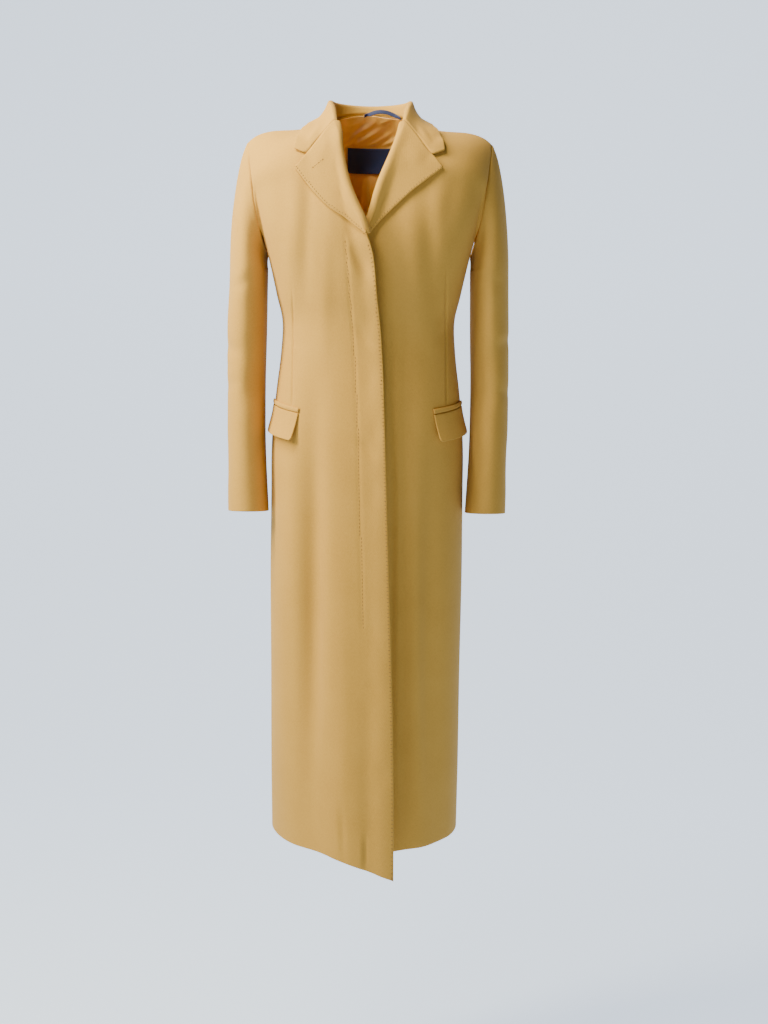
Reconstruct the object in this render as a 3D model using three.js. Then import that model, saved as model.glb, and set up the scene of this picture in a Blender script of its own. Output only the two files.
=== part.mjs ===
// A woman's full-length overcoat in camel wool, keeping the hollow shape it has when it is worn.
// Its wearer's-right front laps over the left one and hides the buttons under a fly, it has a notched
// collar and lapels, set-in sleeves, and two slanted pocket flaps.
// Millimetres, +Z up. +X is the wearer's left and -Y is the front. The origin is between the shoulders,
// at the height where the shoulder line runs in under the collar.
import * as THREE from "three";

// Thickness of each cloth, and the clearance left at every seam.
const WOOL = 2.6;
const DOUBLED_WOOL = 3.4;
const SATIN = 1;
const LABEL_CLOTH = 1;
const SEAM_GAP = 0.3;
const ARMHOLE_GAP = 0.6;
const LAY_GAP = 1.1;

// Heights that drive the coat.
const NAPE_Z = 29;
const BACK_LENGTH = 1251;
const HEM_Z = NAPE_Z - BACK_LENGTH;
const ARMPIT_Z = -215;

// Girth of the body. half is the half width at the side seams; front and back are depths from that line.
const SIDE_SEAM_Y = 5;
const BACK_FULLNESS = 2.15;
const BODY = [
  { z: HEM_Z, half: 166, front: 168, back: 166, fullness: 1.95 },
  { z: -1100, half: 167, front: 163, back: 162, fullness: 2 },
  { z: -930, half: 167, front: 155, back: 156, fullness: 2.05 },
  { z: -760, half: 168, front: 148, back: 150, fullness: 2.15 },
  { z: -630, half: 167, front: 141, back: 143, fullness: 2.2 },
  { z: -530, half: 166, front: 134, back: 134, fullness: 2.25 },
  { z: -460, half: 160, front: 126, back: 120, fullness: 2.3 },
  { z: -395, half: 152, front: 119, back: 104, fullness: 2.35 },
  { z: -340, half: 147, front: 117, back: 98, fullness: 2.35 },
  { z: -275, half: 155, front: 126, back: 101, fullness: 2.35 },
  { z: ARMPIT_Z, half: 171, front: 131, back: 107, fullness: 2.35 },
];

// The front edges. over and under are where the two fronts end, in X; stand and set_back are how far
// the upper front lies in front of the girth at its edge, and the under front behind it.
const EDGES = [
  { z: HEM_Z, over: 51, under: -26, stand: 25, set_back: 12 },
  { z: -1110, over: 50, under: -24, stand: 21, set_back: 11 },
  { z: -945, over: 46, under: -28, stand: 16, set_back: 10 },
  { z: -780, over: 40, under: -34, stand: 11, set_back: 9 },
  { z: -530, over: 31, under: -43, stand: 6, set_back: 8 },
  { z: -370, over: 24, under: -50, stand: 3, set_back: 10 },
  { z: -265, over: 14, under: -48, stand: 3, set_back: 15 },
  { z: ARMPIT_Z, over: 8, under: -34, stand: 4, set_back: 20 },
];
const SHIFT_START = 0.15;
// How much lower the hems of the fronts hang at their edges, and how far up and across that reaches.
const TIP_DROP = 36;
const TIP_DROP_HEIGHT = 320;
const TIP_DROP_WIDTH = 0.42;
const TIP_DROP_CURVE = 1.45;
const UNDER_DROP = 6;

// Boundary curves, all for one side: x grows outwards from the centre line.
// The armhole, from the armpit up the front to the shoulder tip and down the back.
const ARMHOLE = [
  { x: 171, y: 5, z: ARMPIT_Z },
  { x: 174, y: -20, z: -204 },
  { x: 181, y: -43, z: -178 },
  { x: 189, y: -53, z: -142 },
  { x: 197, y: -48, z: -98 },
  { x: 203, y: -28, z: -57 },
  { x: 207, y: 0, z: -25 },
  { x: 204, y: 32, z: -52 },
  { x: 199, y: 60, z: -92 },
  { x: 192, y: 75, z: -138 },
  { x: 184, y: 66, z: -178 },
  { x: 175, y: 37, z: -206 },
];
const SHOULDER_TIP = 6;
// The normal of the armhole's plane, which the sleeve leaves along.
const ARMHOLE_AXIS = new THREE.Vector3(0.98, 0, -0.19).normalize();
// The shoulder seam, from its tip to the neck.
const SHOULDER = [
  { x: 207, y: 0, z: -25 },
  { x: 194, y: 0, z: -15 },
  { x: 171, y: 1, z: -7 },
  { x: 112, y: 3, z: -2 },
  { x: 68, y: 5, z: 12 },
];
// The neck seam of the back, from the shoulder seam to the nape.
const BACK_NECK = [
  { x: 68, y: 5, z: 12 },
  { x: 60, y: 34, z: 18 },
  { x: 36, y: 57, z: 26 },
  { x: 0, y: 66, z: NAPE_Z },
];
// The centre back seam above the armpits.
const CENTRE_BACK = [
  { y: 112, z: ARMPIT_Z },
  { y: 116, z: -160 },
  { y: 115, z: -100 },
  { y: 104, z: -45 },
  { y: 87, z: -5 },
  { y: 66, z: NAPE_Z },
];
// Where the fronts turn back into lapels, from the front edge up to the neck seam at the shoulder.
const GORGE = 7;
const UPPER_ROLL = [
  { x: 0, y: -132, z: -190 },
  { x: 9, y: -130, z: -163 },
  { x: 25, y: -120, z: -129 },
  { x: 38, y: -109, z: -96 },
  { x: 49, y: -89, z: -45 },
  { x: 52, y: -74, z: -14 },
  { x: 55, y: -62, z: 0 },
  { x: 62, y: -30, z: 8 },
  { x: 68, y: 5, z: 12 },
];
const UNDER_ROLL = [
  { x: -20, y: -108, z: -197 },
  { x: -5, y: -108, z: -174 },
  { x: 6, y: -107, z: -146 },
  { x: 18, y: -102, z: -104 },
  { x: 40, y: -87, z: -49 },
  { x: 50, y: -74, z: -20 },
  { x: 55, y: -62, z: 0 },
  { x: 62, y: -30, z: 8 },
  { x: 68, y: 5, z: 12 },
];

// Soft troughs of the body cloth: x across the coat, from top to bottom, each deepest at its low end.
const BODY_FOLDS = [
  { piece: "front_right", x: -92, lean: 6, top: -500, bottom: HEM_Z, width: 30, depth: 9 },
  { piece: "front_right", x: -14, lean: 22, top: -640, bottom: HEM_Z, width: 17, depth: 4 },
  { piece: "front_right", x: -66, lean: -8, top: -120, bottom: -330, width: 20, depth: 4 },
  { piece: "front_left", x: 62, lean: 6, top: -560, bottom: HEM_Z, width: 26, depth: 6 },
  { piece: "front_left", x: 128, lean: 2, top: -700, bottom: HEM_Z, width: 20, depth: 5 },
  { piece: "back_right", x: -62, lean: -10, top: -520, bottom: HEM_Z, width: 28, depth: 11 },
  { piece: "back_right", x: -126, lean: -4, top: -700, bottom: HEM_Z, width: 20, depth: 6 },
  { piece: "back_left", x: 48, lean: 12, top: -600, bottom: HEM_Z, width: 26, depth: 10 },
  { piece: "back_left", x: 118, lean: 6, top: -520, bottom: HEM_Z, width: 24, depth: 8 },
];
const FOLD_GROWTH = 0.75;
const SIDE_FADE = 25;

// Sleeve rings below the armhole. width runs across and depth from front to back; tilt lowers the back.
const SLEEVE = [
  { z: -652, x: 205, y: -22, width: 70, depth: 104, tilt: 5 },
  { z: -540, x: 209, y: -9, width: 66, depth: 113, tilt: 4 },
  { z: -440, x: 210, y: 2, width: 66, depth: 123, tilt: 2 },
  { z: -340, x: 209, y: 7, width: 68, depth: 135, tilt: 0 },
  { z: -240, x: 207, y: 9, width: 67, depth: 146, tilt: 0 },
];
const CUFF_Z = SLEEVE[0].z;
const BICEP_Z = SLEEVE[SLEEVE.length - 1].z;
// How the crown of the sleeve leaves the armhole, outwards and down, and how full it is.
const CROWN_FALL = { top: 1.7, sides: 0.7 };
const CROWN_FULLNESS = 0.62;
// Bend creases of a sleeve: around is 0 at the inside, 0.25 at the front and 0.75 at the back.
const SLEEVE_FOLDS = [
  { around: 0.22, z: -395, spread: 0.13, height: 20, slant: 60, depth: 5 },
  { around: 0.2, z: -450, spread: 0.12, height: 18, slant: -50, depth: 4 },
  { around: 0.72, z: -300, spread: 0.12, height: 34, slant: 90, depth: 4 },
  { around: 0.55, z: -560, spread: 0.12, height: 22, slant: 70, depth: 3 },
];

// The collar at stations from the centre back to its front end. The seam sews it to the neck, the fold
// is the top of its stand and the edge is where its fall ends. The last station is the gorge seam.
const COLLAR = [
  { seam: [0, 66, 29], fold: [0, 66, 44], edge: [0, 94, -6] },
  { seam: [36, 57, 26], fold: [36, 57, 45], edge: [56, 84, -7] },
  { seam: [60, 34, 18], fold: [56, 36, 46], edge: [87, 48, -1] },
  { seam: [68, 5, 12], fold: [62, 6, 45], edge: [101, 6, 3] },
  { seam: [62, -30, 8], fold: [57, -30, 30], edge: [112, -36, -22] },
  { seam: [55, -62, 0], fold: [53, -62, 6], edge: [123, -72, -46.5] },
];
const NOTCH = { x: 101, z: -51 };
const NOTCH_SHARE = 0.75;
const GORGE_GAP = 1.6;
const FALL_GAP = 4.2;
const FOLD_RADIUS = 5.5;
const FALL_BULGE = 0.5;
const STAND_SEAT = 1.5;
const STAND_CLEARANCE = 0.5;

// The lapels: outer edges from the low end to the tip, in x and z for one side.
const UPPER_LAPEL = [
  { x: 5, z: -180 },
  { x: 33, z: -160 },
  { x: 61, z: -142 },
  { x: 90, z: -115 },
  { x: 122, z: -75 },
];
const UNDER_LAPEL = [
  { x: -11, z: -192 },
  { x: 7, z: -173 },
  { x: 35, z: -145 },
  { x: 74, z: -109 },
  { x: 121, z: -73 },
];
const FACING_REACH = 20;
const FACING_GAP = 2;
const BARE_ROLL = 3;
const ROLL_GAP = 3.8;
const ROLL_LIFT = 3.5;
const LAPEL_LIFT = 1.8;

// Pockets: distances along the cloth from the side seam, and the height of the flap's top edge.
const POCKET_BACK = 24;
const POCKET_FRONT = 116;
const POCKET_Z = -466;
const POCKET_SLANT = 11;
const FLAP_DROP = 46;
const FLAP_CLOTH = 2.4;
const FLAP_KICK = 7;
const WELT_HEIGHT = 8;
const WELT_CLOTH = 2.6;
const WELT_ROLL = 0.8;
const HIPS = { top: -380, bottom: -610 };

// The lining inside the back, and what is sewn at the neck.
const LINING_FOOT_Z = -300;
const LINING_REACH = 9;
const LINING_PUCKER = 4;
const LABEL = { half: 40, top: -26, bottom: -68 };
const LOOP_PATH = [
  { x: -11, y: 57, z: 25 },
  { x: -5, y: 55.5, z: 27 },
  { x: 5, y: 45, z: 30 },
  { x: 18, y: 39, z: 31 },
  { x: 32, y: 37, z: 28.5 },
  { x: 44, y: 35, z: 23 },
  { x: 51, y: 30, z: 18.5 },
];
const LOOP_WIDTH = 7;
const LOOP_CLOTH = 1.8;
const LOOP_SEWN = 2;
const LOOP_GAP = 0.5;

// Grid sizes of the pieces.
const LOWER_ROWS = 18;
const UPPER_ROWS = 8;
const FRONT_COLUMNS = 15;
const SHOULDER_COLUMNS = 8;
const NECK_COLUMNS = 4;
const BACK_COLUMNS = SHOULDER_COLUMNS + NECK_COLUMNS;
const SLEEVE_AROUND = 20;
const CROWN_ROWS = 6;
const SLEEVE_ROWS = 12;
const POCKET_COLUMNS = 6;
const FALL_COLUMN = 7;
const FALL_RELAXATIONS = 4;
const COLLAR_STATIONS = 26;
const CHEST_ROW = LOWER_ROWS - 3;
const LAPEL_ROWS = 8;
const LAPEL_COLUMNS = 6;
const LABEL_ROWS = 3;
const LABEL_COLUMNS = 6;
const LOOP_STEPS = 12;
const RELAXED = { below: 1, above: 4, passes: 6 };
const FINE = 60;

const CAMEL = { color: 0xd8ad6c, roughness: 0.85, metalness: 0 };
const AMBER = { color: 0xd9964a, roughness: 0.45, metalness: 0 };
const NAVY = { color: 0x1c2440, roughness: 0.7, metalness: 0 };

const { cos, sin, abs, sign, exp, PI } = Math;
const clamp = THREE.MathUtils.clamp;
const lerp = THREE.MathUtils.lerp;
const smooth = (x, low, high) => THREE.MathUtils.smoothstep(x, low, high);
const vector = (x, y, z) => new THREE.Vector3(x, y, z);

// One column of a table at height z, on a smooth curve through its rows.
function read(table, column, z) {
  const rising = table[0].z < table[table.length - 1].z ? table : [...table].reverse();
  const last = rising.length - 1;
  const at = clamp(z, rising[0].z, rising[last].z);
  let k = 0;
  while (k < last - 1 && at > rising[k + 1].z) k += 1;
  const slope = (i) => {
    const a = rising[Math.max(i - 1, 0)];
    const b = rising[Math.min(i + 1, last)];
    return (b[column] - a[column]) / (b.z - a.z);
  };
  const span = rising[k + 1].z - rising[k].z;
  const t = (at - rising[k].z) / span;
  const rise = rising[k + 1][column] - rising[k][column];
  const a = slope(k) * span - rise;
  const b = rise - slope(k + 1) * span;
  return rising[k][column] + rise * t + t * (1 - t) * ((1 - t) * a + t * b);
}

// A smooth curve through table points, and the same curve on the other side of the coat.
function curve(points, side, closed = false) {
  const list = points.map((p) => vector(side * (p.x ?? 0), p.y, p.z));
  return new THREE.CatmullRomCurve3(list, closed, "centripetal");
}

// The points of a polyline at even distances along it.
function evenly(points, count) {
  const path = new THREE.CurvePath();
  for (let i = 1; i < points.length; i += 1) {
    path.add(new THREE.LineCurve3(points[i - 1], points[i]));
  }
  return Array.from({ length: count + 1 }, (_, i) => path.getPointAt(i / count));
}

const steps = (count) => Array.from({ length: count + 1 }, (_, i) => i / count);

// The outward normals of a grid of cloth. A seam gives, for a place on an edge of the grid, the
// direction in which the cloth runs on across it, so that both pieces are cut off alike there.
function normals_of(rows, { closed = false, flip = false, seams = {} }) {
  const height = rows.length;
  const width = rows[0].length;
  const column = (j) => (closed ? (j + width) % width : clamp(j, 0, width - 1));
  const row = (i) => clamp(i, 0, height - 1);
  return rows.map((line, i) =>
    line.map((p, j) => {
      const along = vector().subVectors(rows[i][column(j + 1)], rows[i][column(j - 1)]);
      const up = vector().subVectors(rows[row(i + 1)][j], rows[row(i - 1)][j]);
      const normal = vector().crossVectors(along, up).normalize();
      if (flip) normal.negate();
      const across_top = i === height - 1 && seams.top?.(i, j);
      const across_bottom = i === 0 && seams.bottom?.(i, j);
      const across_first = j === 0 && !closed && seams.first?.(i, j);
      const across_last = j === width - 1 && !closed && seams.last?.(i, j);
      const direction = across_top || across_bottom || across_first || across_last;
      if (!direction) return normal;
      const run = across_top || across_bottom ? along : up;
      const cut = vector().crossVectors(run, direction).normalize();
      return cut.dot(normal) < 0 ? cut.negate() : cut;
    }),
  );
}

// A closed wall of cloth behind a grid of outer points.
function wall(rows, thickness, options = {}) {
  const { closed = false, flip = false } = options;
  const height = rows.length;
  const width = rows[0].length;
  const normals = normals_of(rows, options);
  const inner = rows.map((line, i) =>
    line.map((p, j) => p.clone().addScaledVector(normals[i][j], -thickness)),
  );
  const positions = [...rows.flat(), ...inner.flat()].flatMap((p) => p.toArray());
  const outside = (i, j) => i * width + (j % width);
  const inside = (i, j) => height * width + outside(i, j);
  const index = [];
  const quad = (a, b, c, d) => index.push(...(flip ? [a, d, c, a, c, b] : [a, b, c, a, c, d]));
  const spans = closed ? width : width - 1;
  const top = height - 1;
  const last = width - 1;
  for (let i = 0; i < top; i += 1) {
    for (let j = 0; j < spans; j += 1) {
      quad(outside(i, j), outside(i, j + 1), outside(i + 1, j + 1), outside(i + 1, j));
      quad(inside(i, j), inside(i + 1, j), inside(i + 1, j + 1), inside(i, j + 1));
    }
    if (closed) continue;
    quad(outside(i, 0), outside(i + 1, 0), inside(i + 1, 0), inside(i, 0));
    quad(outside(i, last), inside(i, last), inside(i + 1, last), outside(i + 1, last));
  }
  for (let j = 0; j < spans; j += 1) {
    quad(outside(0, j), inside(0, j), inside(0, j + 1), outside(0, j + 1));
    quad(outside(top, j), outside(top, j + 1), inside(top, j + 1), inside(top, j));
  }
  const geometry = new THREE.BufferGeometry();
  geometry.setAttribute("position", new THREE.Float32BufferAttribute(positions, 3));
  geometry.setIndex(index);
  geometry.computeVertexNormals();
  return geometry;
}

const coat = new THREE.Group();

function add(name, geometry, finish) {
  const mesh = new THREE.Mesh(geometry, new THREE.MeshStandardMaterial(finish));
  mesh.name = name;
  coat.add(mesh);
}

// A copy of a grid with its borders pulled in by the given distances.
function trimmed(grid, { first, last, top, bottom }) {
  const rows = grid.map((line) => line.map((p) => p.clone()));
  const pull = (p, q, distance) => p.add(vector().subVectors(q, p).setLength(distance));
  for (const line of rows) {
    if (first) pull(line[0], line[1], first);
    if (last) pull(line[line.length - 1], line[line.length - 2], last);
  }
  if (bottom) rows[0].forEach((p, j) => pull(p, rows[1][j], bottom));
  if (top) rows[rows.length - 1].forEach((p, j) => pull(p, rows[rows.length - 2][j], top));
  return rows;
}

// A point of the body's girth. turn is 0 at the side seam and a quarter turn at the centre.
function girth(z, side, face, turn) {
  const power = 2 / (face < 0 ? read(BODY, "fullness", z) : BACK_FULLNESS);
  const depth = read(BODY, face < 0 ? "front" : "back", z);
  const c = cos(turn);
  return vector(
    side * read(BODY, "half", z) * sign(c) * abs(c) ** power,
    SIDE_SEAM_Y + face * depth * abs(sin(turn)) ** power,
    z,
  );
}

// How far the troughs take a point of a piece into the coat. They fade out towards the side seam.
function sink(piece, p) {
  const inside = smooth(abs(p.y - SIDE_SEAM_Y), 0, SIDE_FADE);
  return BODY_FOLDS.filter((fold) => fold.piece === piece).reduce((sum, fold) => {
    const down = (fold.top - p.z) / (fold.top - fold.bottom);
    const hangs = fold.bottom === HEM_Z;
    const strength = hangs ? smooth(down, 0, FOLD_GROWTH) : sin(PI * clamp(down, 0, 1)) ** 2;
    const across = (p.x - fold.x - fold.lean * down) / fold.width;
    return sum + fold.depth * inside * strength * exp(-across * across);
  }, 0);
}

// A front at height z from the side seam to its edge, as a fine line of points.
function front_line(side, z) {
  const upper = side < 0;
  const piece = upper ? "front_right" : "front_left";
  const edge = upper ? -read(EDGES, "over", z) : read(EDGES, "under", z);
  const share = edge / read(BODY, "half", z);
  const end = Math.acos(sign(share) * abs(share) ** (read(BODY, "fullness", z) / 2));
  const shift = upper ? -read(EDGES, "stand", z) : read(EDGES, "set_back", z);
  const low = clamp(1 - (z - HEM_Z) / TIP_DROP_HEIGHT, 0, 1);
  return steps(FINE).map((t) => {
    const p = girth(z, side, -1, t * end);
    p.y += shift * smooth(t, SHIFT_START, 1);
    p.y += sink(piece, p);
    const near_edge = clamp(1 - (1 - t) / TIP_DROP_WIDTH, 0, 1) ** TIP_DROP_CURVE;
    p.z -= (upper ? TIP_DROP : UNDER_DROP) * near_edge * low * low;
    return p;
  });
}

function back_line(side, z) {
  const piece = side < 0 ? "back_right" : "back_left";
  return steps(FINE).map((t) => {
    const p = girth(z, side, 1, (t * PI) / 2);
    p.y -= sink(piece, p);
    return p;
  });
}

// The part of a panel above the armpit, spread between its four edges.
function spread(bottom, top, first, last) {
  const width = bottom.length - 1;
  const height = first.length - 1;
  return first.map((_, i) =>
    bottom.map((_, j) => {
      const u = j / width;
      const w = i / height;
      const p = vector();
      p.addScaledVector(bottom[j], 1 - w).addScaledVector(top[j], w);
      p.addScaledVector(first[i], 1 - u).addScaledVector(last[i], u);
      p.addScaledVector(bottom[0], -(1 - u) * (1 - w)).addScaledVector(bottom[width], -u * (1 - w));
      return p.addScaledVector(top[0], -(1 - u) * w).addScaledVector(top[width], -u * w);
    }),
  );
}

const armhole_curves = { [-1]: curve(ARMHOLE, -1, true), 1: curve(ARMHOLE, 1, true) };

// The armhole edge of a panel, from the armpit up to the shoulder tip.
function armhole_edge(side, face) {
  const tip = SHOULDER_TIP / ARMHOLE.length;
  const points = steps(FINE).map((t) =>
    armhole_curves[side].getPoint(face < 0 ? t * tip : 1 - t * (1 - tip)),
  );
  return evenly(points, UPPER_ROWS);
}

// A whole panel from the hem up, with the change at the armpit eased out.
function panel(lower, top, centre, side, face) {
  const bottom = lower[LOWER_ROWS];
  const columns = bottom.length - 1;
  const last = evenly([bottom[columns], ...centre], UPPER_ROWS);
  const rows = [...lower, ...spread(bottom, top, armhole_edge(side, face), last).slice(1)];
  for (let pass = 0; pass < RELAXED.passes; pass += 1) {
    for (let i = LOWER_ROWS - RELAXED.below; i <= LOWER_ROWS + RELAXED.above; i += 1) {
      for (let j = 1; j < columns; j += 1) {
        const middle = rows[i - 1][j].clone().lerp(rows[i + 1][j], 0.5);
        rows[i][j] = rows[i][j].clone().lerp(middle, 0.5);
      }
    }
  }
  return rows;
}

const lower_heights = steps(LOWER_ROWS).map((t) => lerp(HEM_Z, ARMPIT_Z, t));

function front_rows(side) {
  const roll = curve(side < 0 ? UPPER_ROLL : UNDER_ROLL, side).getPoints(FINE);
  const shoulder = evenly(curve(SHOULDER, side).getPoints(FINE), FRONT_COLUMNS);
  const lower = lower_heights.map((z) => evenly(front_line(side, z), FRONT_COLUMNS));
  return panel(lower, shoulder, roll, side, -1);
}

function back_rows(side) {
  const centre = curve(CENTRE_BACK, side).getPoints(FINE).slice(1);
  const shoulder = evenly(curve(SHOULDER, side).getPoints(FINE), SHOULDER_COLUMNS);
  const neck = evenly(curve(BACK_NECK, side).getPoints(FINE), NECK_COLUMNS);
  const lower = lower_heights.map((z) => evenly(back_line(side, z), BACK_COLUMNS));
  return panel(lower, [...shoulder, ...neck.slice(1)], centre, side, 1);
}

const SIDES = { [-1]: "right", 1: "left" };
const fronts = { [-1]: front_rows(-1), 1: front_rows(1) };
const backs = { [-1]: back_rows(-1), 1: back_rows(1) };

for (const side of [-1, 1]) {
  const into_sleeve = ARMHOLE_AXIS.clone().setX(side * ARMHOLE_AXIS.x);
  const along_side = (i) => (i > LOWER_ROWS ? into_sleeve : vector(0, 1, 0));
  const front_seams = { first: along_side, top: () => vector(0, 1, 0) };
  const front = trimmed(fronts[side], { first: SEAM_GAP / 2, top: SEAM_GAP / 2 });
  add(`front_${SIDES[side]}`, wall(front, WOOL, { flip: side > 0, seams: front_seams }), CAMEL);
  const back_seams = {
    first: along_side,
    last: () => vector(1, 0, 0),
    top: (i, j) => j <= SHOULDER_COLUMNS && vector(0, 1, 0),
  };
  const half_gap = SEAM_GAP / 2;
  const back = trimmed(backs[side], { first: half_gap, last: half_gap, top: half_gap });
  add(`back_${SIDES[side]}`, wall(back, WOOL, { flip: side < 0, seams: back_seams }), CAMEL);
}

// A point of the sleeve below the crown. around goes from its inside to the front, outside and back.
function sleeve_point(side, z, around) {
  const angle = around * 2 * PI;
  const pinch = SLEEVE_FOLDS.reduce((sum, fold) => {
    const off = ((around - fold.around + 1.5) % 1) - 0.5;
    const rise = (z - fold.z - fold.slant * off) / fold.height;
    return sum + fold.depth * exp(-((off / fold.spread) ** 2) - rise * rise);
  }, 0);
  const half_width = read(SLEEVE, "width", z) / 2 - pinch;
  const half_depth = read(SLEEVE, "depth", z) / 2 - pinch;
  return vector(
    side * (read(SLEEVE, "x", z) - cos(angle) * half_width),
    read(SLEEVE, "y", z) - sin(angle) * half_depth,
    z + read(SLEEVE, "tilt", z) * sin(angle),
  );
}

function sleeve(side) {
  const axis = ARMHOLE_AXIS.clone().setX(side * ARMHOLE_AXIS.x);
  const around = Array.from({ length: SLEEVE_AROUND }, (_, j) => j / SLEEVE_AROUND);
  const crown = steps(CROWN_ROWS).map((t) =>
    around.map((a) => {
      const height = (1 - cos(2 * PI * a)) / 2;
      const fall = lerp(CROWN_FALL.sides, CROWN_FALL.top, height ** 2);
      const start = axis.clone().add(vector(0, 0, -fall)).normalize();
      const from = armhole_curves[side].getPoint(a).addScaledVector(axis, ARMHOLE_GAP);
      const to = sleeve_point(side, BICEP_Z, a);
      const reach = from.distanceTo(to) * CROWN_FULLNESS;
      return from
        .clone()
        .lerp(to, t * t * (3 - 2 * t))
        .addScaledVector(start, reach * t * (1 - t) ** 2)
        .addScaledVector(vector(0, 0, 1), reach * t * t * (1 - t));
    }),
  );
  const tube = steps(SLEEVE_ROWS)
    .slice(1)
    .map((t) => around.map((a) => sleeve_point(side, lerp(BICEP_Z, CUFF_Z, t), a)));
  const seams = { bottom: () => axis };
  return wall([...crown, ...tube], WOOL, { closed: true, flip: side < 0, seams });
}

for (const side of [-1, 1]) add(`sleeve_${SIDES[side]}`, sleeve(side), CAMEL);

// The triangles of a grid, each with its normal on the side given by flip.
function triangles_of(rows, flip) {
  return rows.slice(1).flatMap((line, i) =>
    line.slice(1).flatMap((d, j) => {
      const [a, b, c] = [rows[i][j], rows[i][j + 1], line[j]];
      return [new THREE.Triangle(a, b, d), new THREE.Triangle(a, d, c)].map((triangle) => {
        const normal = triangle.getNormal(vector());
        return { triangle, normal: flip ? normal.negate() : normal };
      });
    }),
  );
}

// The place on some triangles that is straight behind a point seen from the front, or nearest to that.
function behind(triangles, x, z) {
  let best = null;
  for (const { triangle, normal } of triangles) {
    const { a, b, c } = triangle;
    const area = (p, q) => (q.x - p.x) * (z - p.z) - (q.z - p.z) * (x - p.x);
    const areas = [area(b, c), area(c, a), area(a, b)];
    const total = areas[0] + areas[1] + areas[2];
    const miss = -Math.min(...areas.map((part) => part / total));
    if (best && miss >= best.miss) continue;
    const point = vector();
    [a, b, c].forEach((corner, k) => point.addScaledVector(corner, areas[k] / total));
    best = { point, normal, miss };
  }
  return best;
}

// The height of a point over the nearest of some triangles, and that triangle's normal.
function height_over(triangles, p) {
  const near = vector();
  let best = null;
  for (const { triangle, normal } of triangles) {
    triangle.closestPointToPoint(p, near);
    const distance = near.distanceTo(p);
    if (best && distance >= best.distance) continue;
    best = { distance, normal, height: normal.dot(p.clone().sub(near)) };
  }
  return best;
}

// Moves a point out until it stands clear of some triangles.
function clear_of(triangles, p, clearance) {
  const { height, normal } = height_over(triangles, p);
  return height < clearance ? p.addScaledVector(normal, clearance - height) : p;
}

const upper_part = (rows) => rows.slice(CHEST_ROW);
const chests = {
  [-1]: triangles_of(upper_part(fronts[-1]), false),
  1: triangles_of(upper_part(fronts[1]), true),
};

// A lapel: the facing comes up inside the front, turns over the roll line and lies on the chest.
function lapel(side) {
  const upper = side < 0;
  const roll_line = curve((upper ? UPPER_ROLL : UNDER_ROLL).slice(0, GORGE), side).getPoints(FINE);
  const outline = (upper ? UPPER_LAPEL : UNDER_LAPEL).map((p) => ({ ...p, y: 0 }));
  const edge_line = curve(outline, side).getPoints(FINE);
  const edges = evenly(edge_line, LAPEL_ROWS);
  const starts = evenly(roll_line.slice(BARE_ROLL), LAPEL_ROWS);
  const place = (p, lift) => {
    const { point, normal } = behind(chests[side], p.x, p.z);
    return point.clone().addScaledVector(normal, lift);
  };
  const rows = starts.map((start, i) => {
    const to_edge = vector().subVectors(edges[i], start).setY(0);
    const before = starts[Math.max(i - 1, 0)];
    const after = starts[Math.min(i + 1, LAPEL_ROWS)];
    const { normal } = behind(chests[side], start.x + side * 2, start.z);
    const away = vector().crossVectors(normal, vector().subVectors(after, before)).normalize();
    if (away.x * side < 0) away.negate();
    const facing = [1, 0.5].map((share) =>
      place(start.clone().addScaledVector(away, FACING_REACH * share), -(WOOL + FACING_GAP + DOUBLED_WOOL)),
    );
    const turn = [0, 0.25, 0.5, 0.75, 1].map((t) => {
      const height = WOOL / 2 + (t > 0.5 ? ROLL_LIFT : FACING_GAP) + DOUBLED_WOOL;
      return start
        .clone()
        .addScaledVector(normal, -WOOL / 2 - height * cos(PI * t))
        .addScaledVector(away, -(ROLL_GAP + DOUBLED_WOOL) * sin(PI * t));
    });
    const outside = steps(LAPEL_COLUMNS)
      .slice(1)
      .map((u) => {
        const lift = lerp(ROLL_LIFT, LAPEL_LIFT, smooth(u, 0, 0.7));
        return place(start.clone().addScaledVector(to_edge, u), lift + DOUBLED_WOOL);
      });
    return [...facing, ...turn, ...outside];
  });
  return wall(trimmed(rows, { top: GORGE_GAP }), DOUBLED_WOOL, { flip: upper });
}

for (const side of [-1, 1]) add(`lapel_${SIDES[side]}`, lapel(side), CAMEL);

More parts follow.
